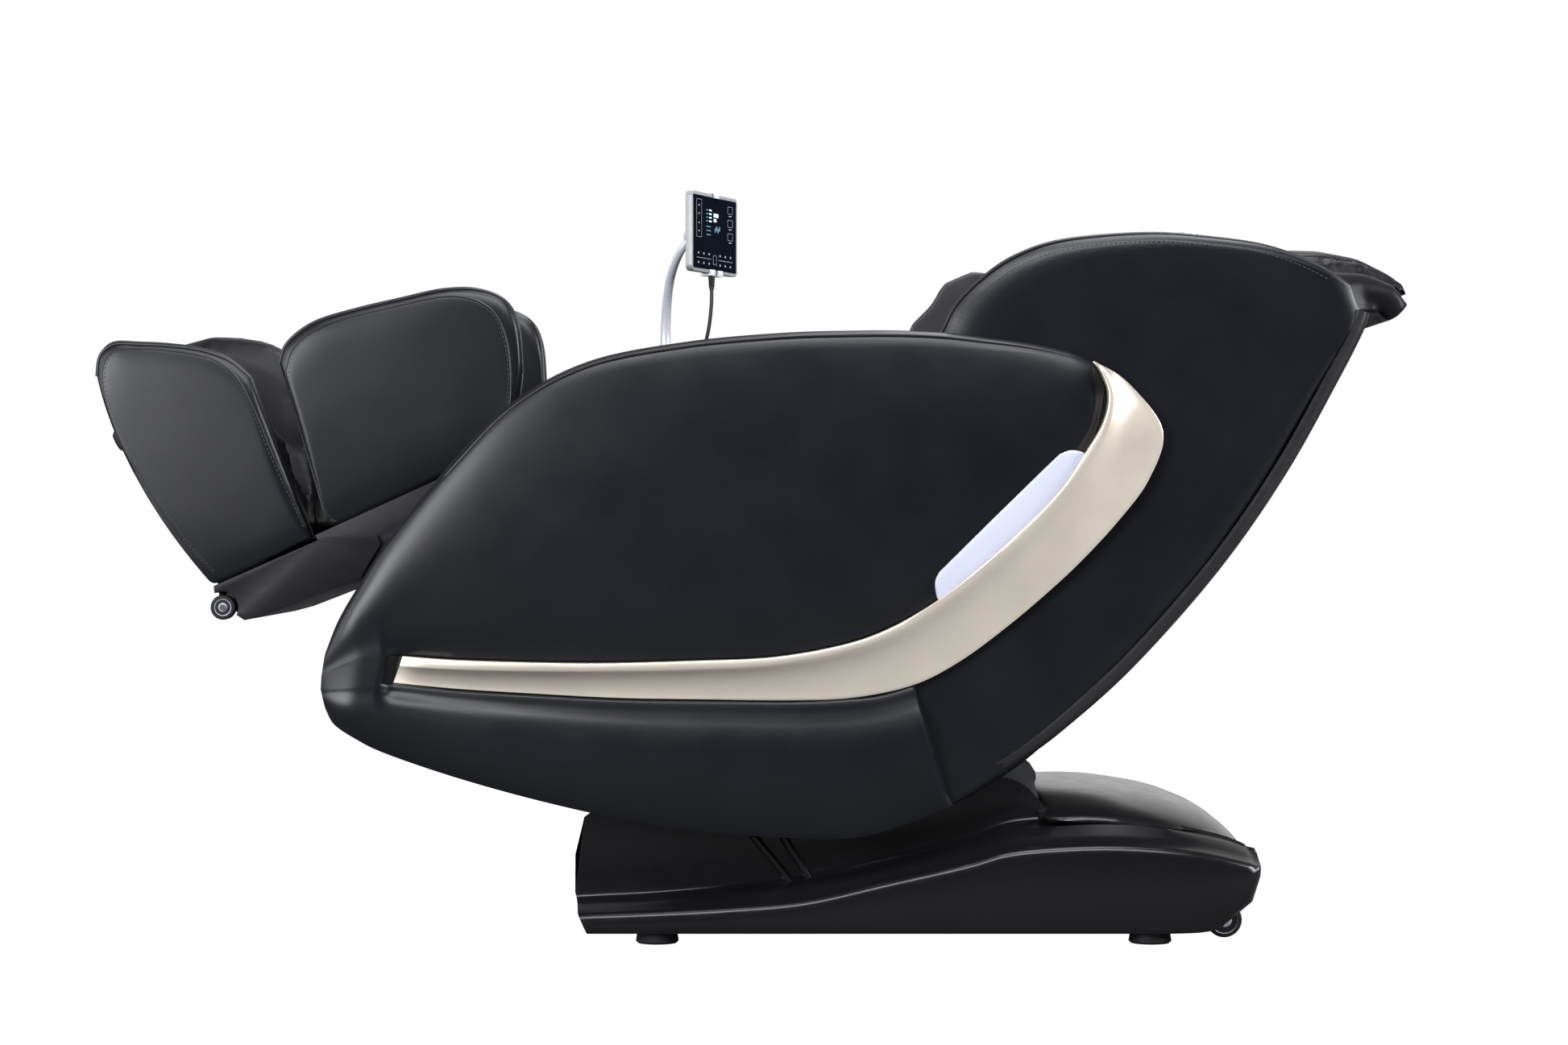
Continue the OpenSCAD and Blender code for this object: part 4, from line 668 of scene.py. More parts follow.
hood = folded_sheet(crest, cover_ys, cover_wall,
                    lambda i, y: min(along(side_drop, y), along(cover_fall, i / 6)),
                    lambda i: along(cover_narrow, i / 6))
rear_cover = piece("base_rear_hood", *loft(hood), base_black, "base", "base_plastic",
                   ("base_rear_cover",), 38)


def box(low, high):
    """Corners and faces of a plain block between two corners."""
    xs, ys, zs = zip(low, high)
    return ([(x, y, z) for x in xs for y in ys for z in zs],
            [(0, 1, 3, 2), (4, 6, 7, 5), (0, 4, 5, 1), (2, 3, 7, 6), (0, 2, 6, 4), (1, 5, 7, 3)])


def cut(made, corners, faces):
    """Cuts an opening with a solid in millimetres, which is then removed."""
    mesh = bpy.data.meshes.new("cut")
    mesh.from_pydata([Vector(p) * 0.001 for p in corners], [], faces)
    block = bpy.data.objects.new("cut", mesh)
    scene.collection.objects.link(block)
    step = made.modifiers.new("cut", "BOOLEAN")
    step.operation = "DIFFERENCE"
    step.object = block
    applied(made)
    bpy.data.objects.remove(block)


cut(rear_cover, *box((640, -172, 63), (700, -88, 97)))
dress(["base_front_panel"], base_black)

# ---- Base frame, feet and wheels ----------------------------------------
# Powder-coated steel tubes and plates, on four turned rubber feet. The two rear wheels have a
# grey nylon hub and a rubber tread.
powder_steel = finish("powder_steel", moulded, [(0.032, 0.033, 0.036), (0.042, 0.043, 0.046)], 600,
                      (0.38, 0.55), 0.35, 0.15, specular=0.4)
foot_rubber = finish("foot_rubber", moulded, [(0.007, 0.007, 0.008), (0.012, 0.012, 0.013)], 500,
                     (0.6, 0.8), 0.3, 0.2, specular=0.25)
hub_grey = finish("hub_grey", moulded, [(0.36, 0.36, 0.44), (0.41, 0.41, 0.49)], 1200, (0.35, 0.5),
                  0.15, 0.1, specular=0.4)
dress(["base_frame", "seat_frame", "back_frame", "calf_frame", "foot_frame"], powder_steel)
dress(["base_feet", "sole_bumpers"], foot_rubber)


def wheel(name, at, d, w, hub, bore, body, node):
    """Tread and hub of a small wheel; the hub is dished with five webs."""
    tread = turned([(d / 2 - 6, -w / 2 + 1.2), (d / 2 - 5, -w / 2), (d / 2 - 2.4, -w / 2),
                    (d / 2 - 0.8, -w / 2 + 1), (d / 2, -w / 2 + 3), (d / 2, w / 2 - 3),
                    (d / 2 - 0.8, w / 2 - 1), (d / 2 - 2.4, w / 2), (d / 2 - 5, w / 2),
                    (d / 2 - 6, w / 2 - 1.2)], at, 56, "y")
    piece(name + "_tread", *tread, foot_rubber, body, "tyre", (node,), 35)
    disc = turned([(bore, -w / 2), (hub - 1, -w / 2), (hub, -w / 2 + 1), (hub + 0.6, -w / 2 + 2.6),
                   (d / 2 - 6.6, -w / 2 + 2.6), (d / 2 - 6.2, -w / 2 + 0.8),
                   (d / 2 - 5.4, -w / 2 + 0.5), (d / 2 - 5.4, w / 2 - 0.5),
                   (d / 2 - 6.2, w / 2 - 0.8), (d / 2 - 6.6, w / 2 - 2.6), (hub + 0.6, w / 2 - 2.6),
                   (hub, w / 2 - 1), (hub - 1, w / 2), (bore, w / 2)], at, 56, "y")
    webs = []
    for k in range(5):
        turn = 2 * math.pi * k / 5
        out_to = Vector((math.cos(turn), 0, math.sin(turn)))
        aside = Vector((-math.sin(turn), 0, math.cos(turn)))
        for face in (-1, 1):
            webs.append(loft([[Vector(at) + out_to * r + aside * s + Vector((0, face * (w / 2 - t),
                    0)) for s, t in ((-0.9, 2.9), (-0.6, 1.3), (0.6, 1.3), (0.9, 2.9))]
                              for r in (hub - 0.4, d / 2 - 6.3)]))
    piece(name + "_hub", *joined(disc, *webs), hub_grey, body, "tyre", (), 35)


for side, word in SIDES:
    wheel(word + "_transport_wheel", (628, side * 290, 31), 48, 20, 10, 5.3,
          word + "_transport_wheel", "transport_wheel_" + word)
    wheel(word + "_heel_wheel", (-733, side * 230, 451), 34, 18, 6, 4.3, word + "_heel_wheel",
          "heel_wheel_" + word)

# ---- Power inlet, supply and pump ---------------------------------------
# A socket for the mains lead and a red rocker switch in one black moulding; a finned supply and
# an air pump stand on the floor plate of the base.
socket_black = finish("socket_black", moulded, [(0.006, 0.006, 0.007), (0.009, 0.009, 0.01)], 900,
                      (0.4, 0.55), 0.2, 0.1, specular=0.35)
rocker_red = finish("rocker_red", moulded, [(0.28, 0.012, 0.01), (0.33, 0.018, 0.014)], 1500,
                    (0.14, 0.22), 0.05, 0.05, specular=0.5, coat=0.3)
cast_grey = finish("cast_grey", drawn, [(0.32, 0.33, 0.34), (0.25, 0.26, 0.27)], None, (0.4, 0.58),
                   0.15, 0.1, metal=0.6)
dress(["power_inlet", "air_pump", "belly_pan"], socket_black)
dress(["power_switch"], rocker_red)
dress(["power_supply"], cast_grey)

# ---- Arm leather ---------------------------------------------------------
# Each arm is faced with polyurethane leather over shaped foam, piped along the top. The panel is
# cut round the trim strip and the light bar; below and behind the strip a second panel is sewn
# to the first at the nose.
leather_skin, given, out = effect_group("leather_skin")
place = leather_skin.nodes.new("ShaderNodeTexCoord").outputs["Object"]
pores = leather_skin.nodes.new("ShaderNodeTexVoronoi")
pores.feature = "DISTANCE_TO_EDGE"
leather_skin.links.new(place, pores.inputs["Vector"])
leather_skin.links.new(given.outputs["Grain"], pores.inputs["Scale"])
cells = remap(leather_skin, pores.outputs["Distance"], 0.0, 0.28, 0.0, 1.0)
fine = add_noise(leather_skin, place, 2400.0, 2.0)
folds = add_noise(leather_skin, place, 24.0, 3.0, (1.0, 1.0, 2.2))
worn = remap(leather_skin, add_noise(leather_skin, place, 5.5, 4.0), 0.42, 0.72, 0.0, 1.0)
handled = remap(leather_skin, add_noise(leather_skin, place, 11.0, 4.0), 0.32, 0.7, 0.0, 1.0)
leather_skin.links.new(tint(leather_skin, worn, given.outputs["Colour"],
        given.outputs["Second colour"]), out.inputs["Colour"])
leather_skin.links.new(remap(leather_skin, handled, 0.0, 1.0, given.outputs["Shine low"],
        given.outputs["Shine high"]), out.inputs["Roughness"])
leather_skin.links.new(add_up(leather_skin, add_up(leather_skin, cells, fine, 0.25), folds, 0.5),
                       out.inputs["Height"])

black_leather = finish("black_leather", leather_skin, [(0.0032, 0.0036, 0.005),
        (0.004, 0.0044, 0.006)], 620, (0.29, 0.34), 0.2, 0.12, specular=0.26)
seat_leather = finish("seat_leather", leather_skin, [(0.0036, 0.0037, 0.0048),
        (0.0052, 0.0053, 0.0068)], 560, (0.36, 0.42), 0.3, 0.14, specular=0.14)
piping_leather = finish("piping_leather", leather_skin, [(0.0042, 0.0043, 0.0052),
        (0.007, 0.007, 0.0084)], 800, (0.3, 0.44), 0.2, 0.1, specular=0.35)
thread_black = finish("thread_black", moulded, [(0.022, 0.022, 0.026), (0.03, 0.03, 0.034)], 2600,
                      (0.42, 0.6), 0.3, 0.1, specular=0.35)


def stitch_row(route, pitch=6.4, length=4.3, radius=0.55):
    """Corners and faces of a row of sewn stitches along a route."""
    route = [Vector(p) for p in route]
    reach = [0.0]
    for a, b in zip(route, route[1:]):
        reach.append(reach[-1] + (b - a).length)

    def at(s):
        for k in range(1, len(reach)):
            if s <= reach[k]:
                return route[k - 1].lerp(route[k], (s - reach[k - 1]) / max(reach[k] - reach[k - 1],
                        1e-6))
        return route[-1]
    parts, s = [], pitch / 2
    while s + length < reach[-1]:
        ends = [at(s), at(s + length * 0.25), at(s + length * 0.75), at(s + length)]
        parts.append(tube(ends, [radius * 0.45, radius, radius, radius * 0.45], 5))
        s += pitch
    return joined(*parts) if parts else ([], [])


def sewn(name, shape, material, body):
    """Piping or stitching on a leather cover; it stands for no solid of its own."""
    piece(name, *shape, material, body, "leather", (), 60)


def inside(line, gap):
    """An (x, z) line moved to the right of travel."""
    return [p + right_of(line, i) * gap for i, p in enumerate(line)]


arm_n = 8
arm_upper = curve([(-577, 394), (-560, 437), (-534, 482), (-492, 547), (-410, 646), (-328, 728),
                   (-227, 782), (-98, 808), (30, 820), (127, 823), (192, 823), (251, 820),
                   (301, 814), (356, 807), (406, 797), (430, 789), (443, 782)], arm_n)
arm_lip = curve([(-582, 362), (-552, 375), (-520, 385), (-478, 389), (-400, 384), (-304, 381),
                 (-205, 380), (-90, 383), (20, 388), (115, 405), (170, 425), (222, 452), (283, 498),
                 (340, 547), (396, 604), (445, 672), (463, 745)], arm_n)
arm_low = curve([(-583, 345), (-556, 348), (-525, 350), (-487, 353), (-400, 345), (-304, 339),
                 (-190, 333), (-75, 331), (50, 330), (130, 334), (166, 339), (208, 351)],
                arm_n)[:-1] + curve([(208, 351), (290, 465), (352, 520), (408, 576), (455, 640),
        (466, 748)], arm_n)
arm_foot = curve([(-577, 318), (-566, 298), (-540, 280), (-500, 260), (-410, 229), (-304, 199),
                  (-190, 173), (-75, 155), (50, 146), (128, 147), (192, 163), (259, 190)],
                 arm_n)[:-1] + curve([(259, 190), (290, 465), (352, 520), (408, 576), (455, 640),
        (466, 748)], arm_n)
arm_seam = 11 * arm_n
pad_floor = 352.7
pad_edge = 356.2
pad_back = 350.6
upper_vs = [0.0, 0.012, 0.03, 0.06, 0.1, 0.16, 0.24, 0.33, 0.43, 0.53, 0.63, 0.73, 0.81, 0.88, 0.93,
            0.965]
lower_vs = [0.035, 0.08, 0.16, 0.27, 0.4, 0.53, 0.66, 0.77, 0.86, 0.92, 0.96, 0.985, 1.0]


def toward(a, b, d):
    return a + (b - a) * d / max((b - a).length, 0.001)


def crown(t):
    return 18 * max(math.sin(math.pi * min(max(t, 0), 1)), 0) ** 0.7


for side, word in SIDES:
    corners, faces = [], []
    last = len(arm_upper) - 1
    for i in range(last + 1):
        s = 2 * i / arm_n
        groove = ease((s - 5.2) / 0.9)
        ends_in = ease((s + 2.2) / 6) * ease((35 - s) / 7)
        u, l, w = arm_upper[i], arm_low[i], arm_foot[i]
        m = toward(arm_lip[i], u, 2 + 3 * groove)
        f = toward(arm_lip[i], u, 0.7 * groove)
        h = toward(l, w, 0.7 * groove) if i <= arm_seam else l
        e = toward(l, w, 2 + 3 * groove) if i <= arm_seam else l
        hump = pad_edge + 16.5 * ends_in
        y_lip = mix(hump, pad_edge + 6, groove)
        y_floor = mix(hump, pad_floor, groove)
        rows = []
        for v in upper_vs:
            p = u.lerp(m, v)
            y = pad_edge + crown(0.85 * v ** 0.75) * ends_in
            # The skin turns over a soft shoulder under the piping, and rolls into the groove
            y -= 3.4 * (1 - min(v / 0.03, 1)) ** 2
            turns_at = mix(0.55, 0.86, groove)
            y = mix(y, y_lip, ease((v - turns_at) / (1 - turns_at)))
            rows.append((p, y))
        rows += [(m.lerp(f, 0.25), mix(y_lip, y_floor, 0.05)),
                 (m.lerp(f, 0.6), mix(y_lip, y_floor, 0.3)),
                 (m.lerp(f, 0.9), mix(y_lip, y_floor, 0.65)), (f, y_floor), (h, y_floor)]
        split = len(rows) - 1
        q = min(max((arm_seam - i) / (0.22 * arm_n), 0), 1)
        rounded_end = math.sqrt(1 - (1 - q) ** 2)
        y_low = mix(hump, pad_edge + 4, groove)
        rows += [(h.lerp(e, 0.15), mix(y_floor, y_low, 0.45 * rounded_end)),
                 (h.lerp(e, 0.45), mix(y_floor, y_low, 0.8 * rounded_end)),
                 (e, mix(y_floor, y_low, rounded_end))]
        for v in lower_vs:
            p = e.lerp(w, v)
            y = pad_edge + crown(0.2 + 0.8 * v) * ends_in
            y = mix(y_low, y, ease(v / 0.3))
            rows.append((p, mix(pad_floor, y, rounded_end)))
        rows += [(w, pad_back), (h, pad_back), (u, pad_back)]
        corners += [(p[0], side * y, p[1]) for p, y in rows]
        n = len(rows)
    for i in range(last):
        a = i * n
        ring = list(range(n)) if i < arm_seam else list(range(split + 1)) + [n - 2, n - 1]
        for k, j in enumerate(ring):
            j2 = ring[(k + 1) % len(ring)]
            faces.append((a + j, a + j2, a + n + j2, a + n + j))
    faces.append(tuple(range(n)))
    faces.append(tuple(arm_seam * n + k for k in range(split, n - 1)))
    faces.append(tuple(last * n + k for k in list(range(split + 1)) + [n - 2, n - 1]))
    panel = piece("arm_leather_" + word, corners, faces, black_leather, "seat_body", "leather",
                  ("arm_side_pad_" + word,), 50)
    # Piping along the top edge, and the seam along the lower edge
    cord_path = inside(arm_upper, 6.5)
    path = [(p[0], side * (357.6 + 1.6 * ease(k / 24)), p[1]) for k,
            p in enumerate(cord_path[2:-2])]
    hem = [(p[0], side * 355.4, p[1]) for p in inside(arm_foot[:arm_seam - 2], -4.5)]
    sewn("arm_piping_" + word, joined(tube(path, [3.1] * len(path), 10),
            tube(hem, [2.2] * len(hem), 8)), piping_leather, "seat_body")

# ---- Armrest tops --------------------------------------------------------
# Foam pads in the same leather, boxed with a sewn edge each side.
arm_rim = curve([(-500, 262), (-548, 287), (-574, 312), (-583, 351), (-577, 394), (-560, 437),
                 (-534, 482), (-492, 547), (-410, 646), (-328, 728), (-227, 782), (-98, 808),
                 (30, 820), (85, 822)], arm_n)
rest_in, rest_out, rest_deep = 268, 349, 40
rest_seam_y = 272.5
across = [0, 0.012, 0.035, 0.07, 0.12, 0.2, 0.32, 0.5, 0.68, 0.8, 0.88, 0.93, 0.965, 0.988, 1]
for side, word in SIDES:
    rings = []
    for i, at in enumerate(arm_rim):
        n = right_of(arm_rim, i)
        ring = []
        for v in across:
            drop = 1.2 + 9.0 * abs(2 * v - 1) ** 6 + 4.0 * max(abs(2 * v - 1) - 0.93, 0) / 0.07
            p = at + n * drop
            ring.append((p[0], side * mix(rest_in, rest_out, v), p[1]))
        for v in (1, 0.5, 0):
            p = at + n * rest_deep
            ring.append((p[0], side * mix(rest_in, rest_out, v), p[1]))
        rings.append(ring)
    top = piece("armrest_top_" + word, *loft(rings), seat_leather, "seat_body", "leather",
                ("armrest_pad_" + word,), 50)
    if side > 0:
        cut(top, *turned([(30.4, -8), (30.4, 50)], post_foot, 48))
    line = [(p[0], side * rest_seam_y, p[1]) for p in inside(arm_rim, 5.4)]
    sewn("armrest_piping_" + word, tube(line, [2.6] * len(line), 8), piping_leather, "seat_body")


# ---- Trim strip and light bar -------------------------------------------
# A champagne-lacquered moulding with a proud inner lip and a hollow face, pressed into the groove
# of the arm leather. A white diffuser with round ends fills the corner above it.
lacquer, given, out = effect_group("satin_lacquer", grained=False)
place = lacquer.nodes.new("ShaderNodeTexCoord").outputs["Object"]
flakes = remap(lacquer, add_noise(lacquer, place, 2600.0, 1.0), 0.45, 0.75, 0.0, 0.7)
peel = add_noise(lacquer, place, 320.0, 2.0)
lacquer.links.new(tint(lacquer, flakes, given.outputs["Colour"], given.outputs["Second colour"]),
                  out.inputs["Colour"])
lacquer.links.new(remap(lacquer, add_noise(lacquer, place, 16.0), 0.3, 0.7,
                        given.outputs["Shine low"], given.outputs["Shine high"]),
                  out.inputs["Roughness"])
lacquer.links.new(peel, out.inputs["Height"])
champagne = finish("champagne", lacquer, [(0.6, 0.54, 0.45), (0.7, 0.64, 0.55)], None, (0.36, 0.44),
                   0.05, 0.05, metal=0.7, specular=0.5)
diffuser = finish("diffuser", moulded, [(0.34, 0.35, 0.42), (0.36, 0.37, 0.44)], 900, (0.3, 0.4),
                  0.03, 0.05, specular=0.4)
tree = diffuser.node_tree
tree.links.new(tree.nodes["Group"].outputs["Colour"],
               tree.nodes["Principled BSDF"].inputs["Emission Color"])
tree.nodes["Principled BSDF"].inputs["Emission Strength"].default_value = 0.1

trim_n = 10
trim_inner = curve([(-474, 389), (-400, 384), (-304, 381), (-205, 380), (-90, 383), (20, 388),
                    (115, 405), (178, 428), (239, 464), (283, 498), (331, 540), (396, 604),
                    (434, 659), (458, 700), (465, 735), (456, 764), (445, 781)], trim_n)
trim_middle = curve([(-478, 376), (-400, 372), (-304, 370), (-205, 370), (-90, 372), (20, 378),
                     (115, 395), (187, 421), (258, 466), (296, 496), (344, 537), (406, 600),
                     (444, 648), (467, 694), (473, 735), (462, 767), (446, 781.4)], trim_n)
trim_outer = curve([(-487, 353), (-400, 345), (-304, 339), (-190, 333), (-75, 331), (50, 330),
                    (130, 334), (208, 351), (270, 383), (331, 428), (383, 472), (428, 514),
                    (478, 568), (520, 625), (538, 690), (492, 753), (447, 782)], trim_n)
hollow = [(0.0, 0.94), (0.03, 0.915), (0.08, 0.84), (0.16, 0.73), (0.26, 0.62), (0.38, 0.53),
          (0.52, 0.465), (0.66, 0.425), (0.8, 0.405), (0.93, 0.405), (0.975, 0.41), (1.0, 0.385)]
strip_back = 353
strip_proud = 27
bar_way = Vector((0.6816, 0.7317))
for side, word in SIDES:
    rings = []
    count = len(trim_inner) - 1
    for i in range(count + 1):
        u = i / count
        swell = ease(u / 0.03) * 0.45 + ease(u / 0.09) * 0.35 + 0.2
        depth = strip_proud * swell * (ease((1 - u) / 0.05) * 0.8 + 0.2)
        a, b, c = trim_inner[i], trim_middle[i], trim_outer[i]
        lip = toward(a, b, min(2, (b - a).length / 3))
        edge = toward(a, b, min(0.5, (b - a).length / 9))
        ring = [(a, strip_back), (a, strip_back + depth * 0.9), (edge, strip_back + depth * 0.975),
                (lip, strip_back + depth), (lip.lerp(b, 0.5), strip_back + depth * 0.985),
                (lip.lerp(b, 0.93), strip_back + depth * 0.955)]
        # The face looks down more along the level run, and opens out where the strip climbs
        tilt = 0.24 * (1 - ease((u - 0.5) / 0.25))
        ring += [(b.lerp(c, t), strip_back + depth * (h - tilt * t)) for t, h in hollow]
        ring += [(c, strip_back)]
        rings.append([(p[0], side * y, p[1]) for p, y in ring])
    piece("arm_trim_strip_" + word, *loft(rings), champagne, "seat_body", "trim",
          ("arm_trim_" + word,), 34)
    # Outline of the bar: two long sides with a round corner at each end of the far one
    bar_line = curve([(242, 462), (283, 496), (331, 538), (396, 602), (433, 655), (434, 658),
                      (428, 661.5), (414, 663), (402, 659), (392, 651), (321, 581), (250, 510.5),
                      (240, 500), (235, 488), (236, 474), (238.5, 465)], 4)
    middle = Vector((330, 562))
    rings = []
    for inset, h in ((0, 0), (0, 17.6), (0.8, 19.0), (2.2, 19.7), (5, 20.0), (12, 20.2)):
        ring = []
        for p in bar_line:
            along_bar = bar_way * (p - middle).dot(bar_way)
            p = toward(p, middle + along_bar * 0.9, inset)
            ring.append((p[0], side * (strip_back + h), p[1]))
        rings.append(ring)
    piece("light_bar_" + word, *loft(rings), diffuser, "seat_body", "light",
          ("light_panel_" + word,), 50)

# ---- Plump cushions ------------------------------------------------------
# Sewn covers over moulded foam. The seat and the back are a middle panel with a bolster each
# side; the sewn channels between them run the whole length.
cloth_frames = 20


def plump(name, made_name, material, body, voxel, cap, under, shrink=2.0):
    """Cushion blown up from its plain solid; it stays flat on the side that it rests on."""
    made = bpy.data.objects.new(made_name, cad[name].data.copy())
    scene.collection.objects.link(made)
    made.data.materials.clear()
    made.data.materials.append(material)
    grid = made.modifiers.new("even", "REMESH")
    grid.mode = "VOXEL"
    grid.voxel_size = voxel * 0.001
    relax = made.modifiers.new("relax", "SMOOTH")
    relax.factor = 0.5
    relax.iterations = 3
    applied(made)
    rest = [v.co.copy() for v in made.data.vertices]
    facing = [v.normal.copy() for v in made.data.vertices]
    for v, n in zip(made.data.vertices, facing):
        v.co -= n * shrink * 0.001
    cloth = made.modifiers.new("fill", "CLOTH")
    cloth.settings.quality = 4
    cloth.settings.mass = 0.3
    cloth.settings.use_pressure = True
    cloth.settings.uniform_pressure_force = 4
    cloth.settings.tension_stiffness = 14
    cloth.settings.compression_stiffness = 14
    cloth.settings.bending_stiffness = 0.6
    cloth.settings.effector_weights.gravity = 0
    cloth.point_cache.frame_start = 1
    cloth.point_cache.frame_end = cloth_frames
    for frame_no in range(1, cloth_frames + 1):
        scene.frame_set(frame_no)
    applied(made)
    scene.frame_set(1)
    down = Vector(under).normalized()
    for v, at, n in zip(made.data.vertices, rest, facing):
        move = v.co - at
        limit = cap * 0.001 * (1 - ease((n.dot(down) - 0.15) / 0.5))
        if move.length > limit:
            move = move.normalized() * limit
        v.co = at + move
    finer = made.modifiers.new("finer", "SUBSURF")
    finer.levels = 1
    applied(made)
    smooth(made.data)
    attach(made, body)
    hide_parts(name)
    return made


def sink(made, distance_to_seam, width, depth, keep):
    """Draws the cover in along a seam; distance_to_seam gives millimetres from a corner."""
    normals = [v.normal.copy() for v in made.data.vertices]
    for v, n in zip(made.data.vertices, normals):
        at = v.co * 1000
        if not keep(at, n):
            continue
        near = abs(distance_to_seam(at)) / width
        if near < 1:
            v.co -= n * (depth * (1 - near * near) ** 1.5) * 0.001


def landed(made, points, way, lift=0.3):
    """Points dropped on to a piece along a direction, a little proud of it."""
    tree = BVHTree.FromPolygons([v.co for v in made.data.vertices],
            [p.vertices for p in made.data.polygons])
    way = Vector(way).normalized()
    found = []
    for p in points:
        hit = tree.ray_cast(Vector(p) * 0.001 - way * 0.3, way)
        if hit[0] is not None:
            found.append((hit[0] - way * lift * 0.001) * 1000)
    return found


def seam_stitches(name, cushion, line, seam_y, off, way, body):
    """A row of stitches on each side of both seams that run along a cushion."""
    rows = []
    for y in (-seam_y, seam_y):
        for gap in (-off, off):
            rows.append(stitch_row(landed(cushion, [(p[0], y + gap, p[1]) for p in line], way)))
    sewn(name, joined(*rows), thread_black, body)


seat_seam, back_seam, pillow_seam, leg_seam = 155, 184, 128, 78
seat_top = curve([(-322, 704), (-300, 722), (-250, 720), (-150, 672), (-20, 606), (80, 556),
                  (130, 530)], 8)
seat = plump("seat_cushion", "seat_pad", seat_leather, "seat_body", 6.5, 7, under=(-0.38, 0, -0.92))
for y in (-seat_seam, seat_seam):
    sink(seat, lambda at, y=y: at.y - y, 9, 4, lambda at, n: n.z > 0.2)
seam_stitches("seat_stitching", seat, seat_top[2:-2], seat_seam, 5, (0.35, 0, -0.94), "seat_body")

# ---- Backrest ------------------------------------------------------------
# Leather wings over steel and plywood stand on both sides of a soft back pad; a moulded shell
# closes the rear. Piping runs round the front and top edge of each wing.
shell_black = finish("shell_black", moulded, [(0.0088, 0.0088, 0.0098), (0.0118, 0.0118, 0.0128)],
                     1000, (0.32, 0.44), 0.15, 0.1, specular=0.3)
wing_n = 8
wing_front = curve([(192, 174), (150, 262), (124, 371), (150, 500), (188, 650), (216, 780),
                    (243, 824), (262, 860), (298, 896), (343, 926), (407, 947), (515, 956),
                    (600, 951), (680, 939), (745, 915), (790, 888)], wing_n)
wing_middle = curve([(228, 186), (262, 262), (300, 371), (340, 450), (395, 545), (440, 640),
                     (470, 680), (495, 715), (525, 745), (560, 770), (600, 800), (650, 826),
                     (690, 840), (735, 850), (775, 858), (798, 864)], wing_n)
wing_rear = curve([(259, 188), (300, 210), (350, 243), (398, 284), (450, 335), (500, 386),
                   (535, 425), (570, 465), (600, 502), (630, 545), (660, 590), (690, 638),
                   (725, 700), (758, 760), (785, 810), (805, 848)], wing_n)
wing_out = 346.0
wing_in_top = 263.0
wing_in_low = 280.0
wing_vs = [0, 0.006, 0.016, 0.032, 0.055, 0.085, 0.12, 0.18, 0.28, 0.4, 0.52, 0.64, 0.76, 0.86,
           0.92, 0.96, 0.985, 1]


def bent(a, b, c, v, m=0.45):
    """Point a fraction v of the way from a to c, bent through b at v = m."""
    return (a * ((v - m) * (v - 1) / m) + b * (v * (v - 1) / (m * (m - 1)))
            + c * (v * (v - m) / (1 - m)))


for side, word in SIDES:
    rings = []
    n = len(wing_front) - 1
    for i in range(n + 1):
        s = 2 * i / wing_n
        close = min(ease((s + 1) / 3), ease((31 - s) / 3))
        ring = []
        for v in wing_vs:
            p = bent(wing_front[i], wing_middle[i], wing_rear[i], v)
            turn_in = 13 * max(1 - v / 0.075, 0) ** 2.4 + 12 * max((v - 0.9) / 0.1, 0) ** 2
            ring.append((p[0], side * (wing_out - turn_in - (1 - close) * 8), p[1]))
        for v in reversed(wing_vs):
            p = bent(wing_front[i], wing_middle[i], wing_rear[i], v)
            inner = mix(wing_in_top, wing_in_low, 1 - ease((p[1] - 470) / 80))
            ring.append((p[0], side * (inner + 7 * max(1 - v / 0.06, 0) ** 2.4), p[1]))
        rings.append(ring)
    wing = piece("back_wing_leather_" + word, *loft(rings), black_leather, "backrest", "leather",
                 ("back_wing_" + word,), 50)
    welt = inside(wing_front, 2.6)
    path = [(p[0], side * 335.2, p[1]) for p in welt[2:-2]]
    sewn("wing_piping_" + word, tube(path, [2.8] * len(path), 10), piping_leather, "backrest")
    stitches = stitch_row([(p[0], side * (wing_out + 0.2), p[1])
                           for p in inside(wing_front, 13)[44:-4]])
    sewn("wing_stitching_" + word, stitches, thread_black, "backrest")

rear_line = curve([(820, 846), (812, 822), (780, 759), (708, 630), (618, 501), (504, 372),
                   (408, 286), (349, 243), (318, 226)], 8)
fold = [(0, -3), (150, -2), (220, -1), (268, -0.3), (300, 0), (322, 1.0), (336, 2.5), (341, 5),
        (344, 8.5), (345.4, 12), (346, 18)]
shell_ys = [346, 345.4, 344, 341, 336, 322, 300, 268, 220, 150, 75, 0]
shell_ys = shell_ys + [-y for y in shell_ys[-2::-1]]
shell_wall = 4
shell = folded_sheet(rear_line, shell_ys, shell_wall, lambda i, y: max(along(fold, y), 0))
back_cover = piece("back_shell_moulding", *loft(shell), shell_black, "backrest", "inner_plastic",
                   ("back_shell",), 40)
cut(back_cover, *box((300, -288, 200), (396, 288, 300)))

back_pad = plump("back_cushion", "back_pad", seat_leather, "backrest", 7, 8, under=(0.6, 0, -0.8))
sink(back_pad, lambda at: abs(at.y) - back_seam, 9, 4, lambda at, n: n.z > 0.1 and at.x < 690)
back_line = curve([(206, 474), (250, 500), (325, 556), (400, 612), (475, 672), (550, 730),
                   (625, 788), (690, 838)], 8)
seam_stitches("back_stitching", back_pad, back_line[2:], back_seam, 5, (0.6, 0, -0.8), "backrest")

pillow = plump("head_pillow", "pillow", seat_leather, "backrest", 5, 9, under=(0.4, 0, -0.9))
sink(pillow, lambda at: abs(at.y) - pillow_seam, 6, 2.5, lambda at, n: n.z > 0.1)
pillow_line = curve([(622, 858), (655, 900), (694, 932), (736, 947), (785, 942), (838, 930),
                     (880, 907)], 8)
seam_stitches("pillow_stitching", pillow, pillow_line, pillow_seam, 4, (0.2, 0, -0.98), "backrest")

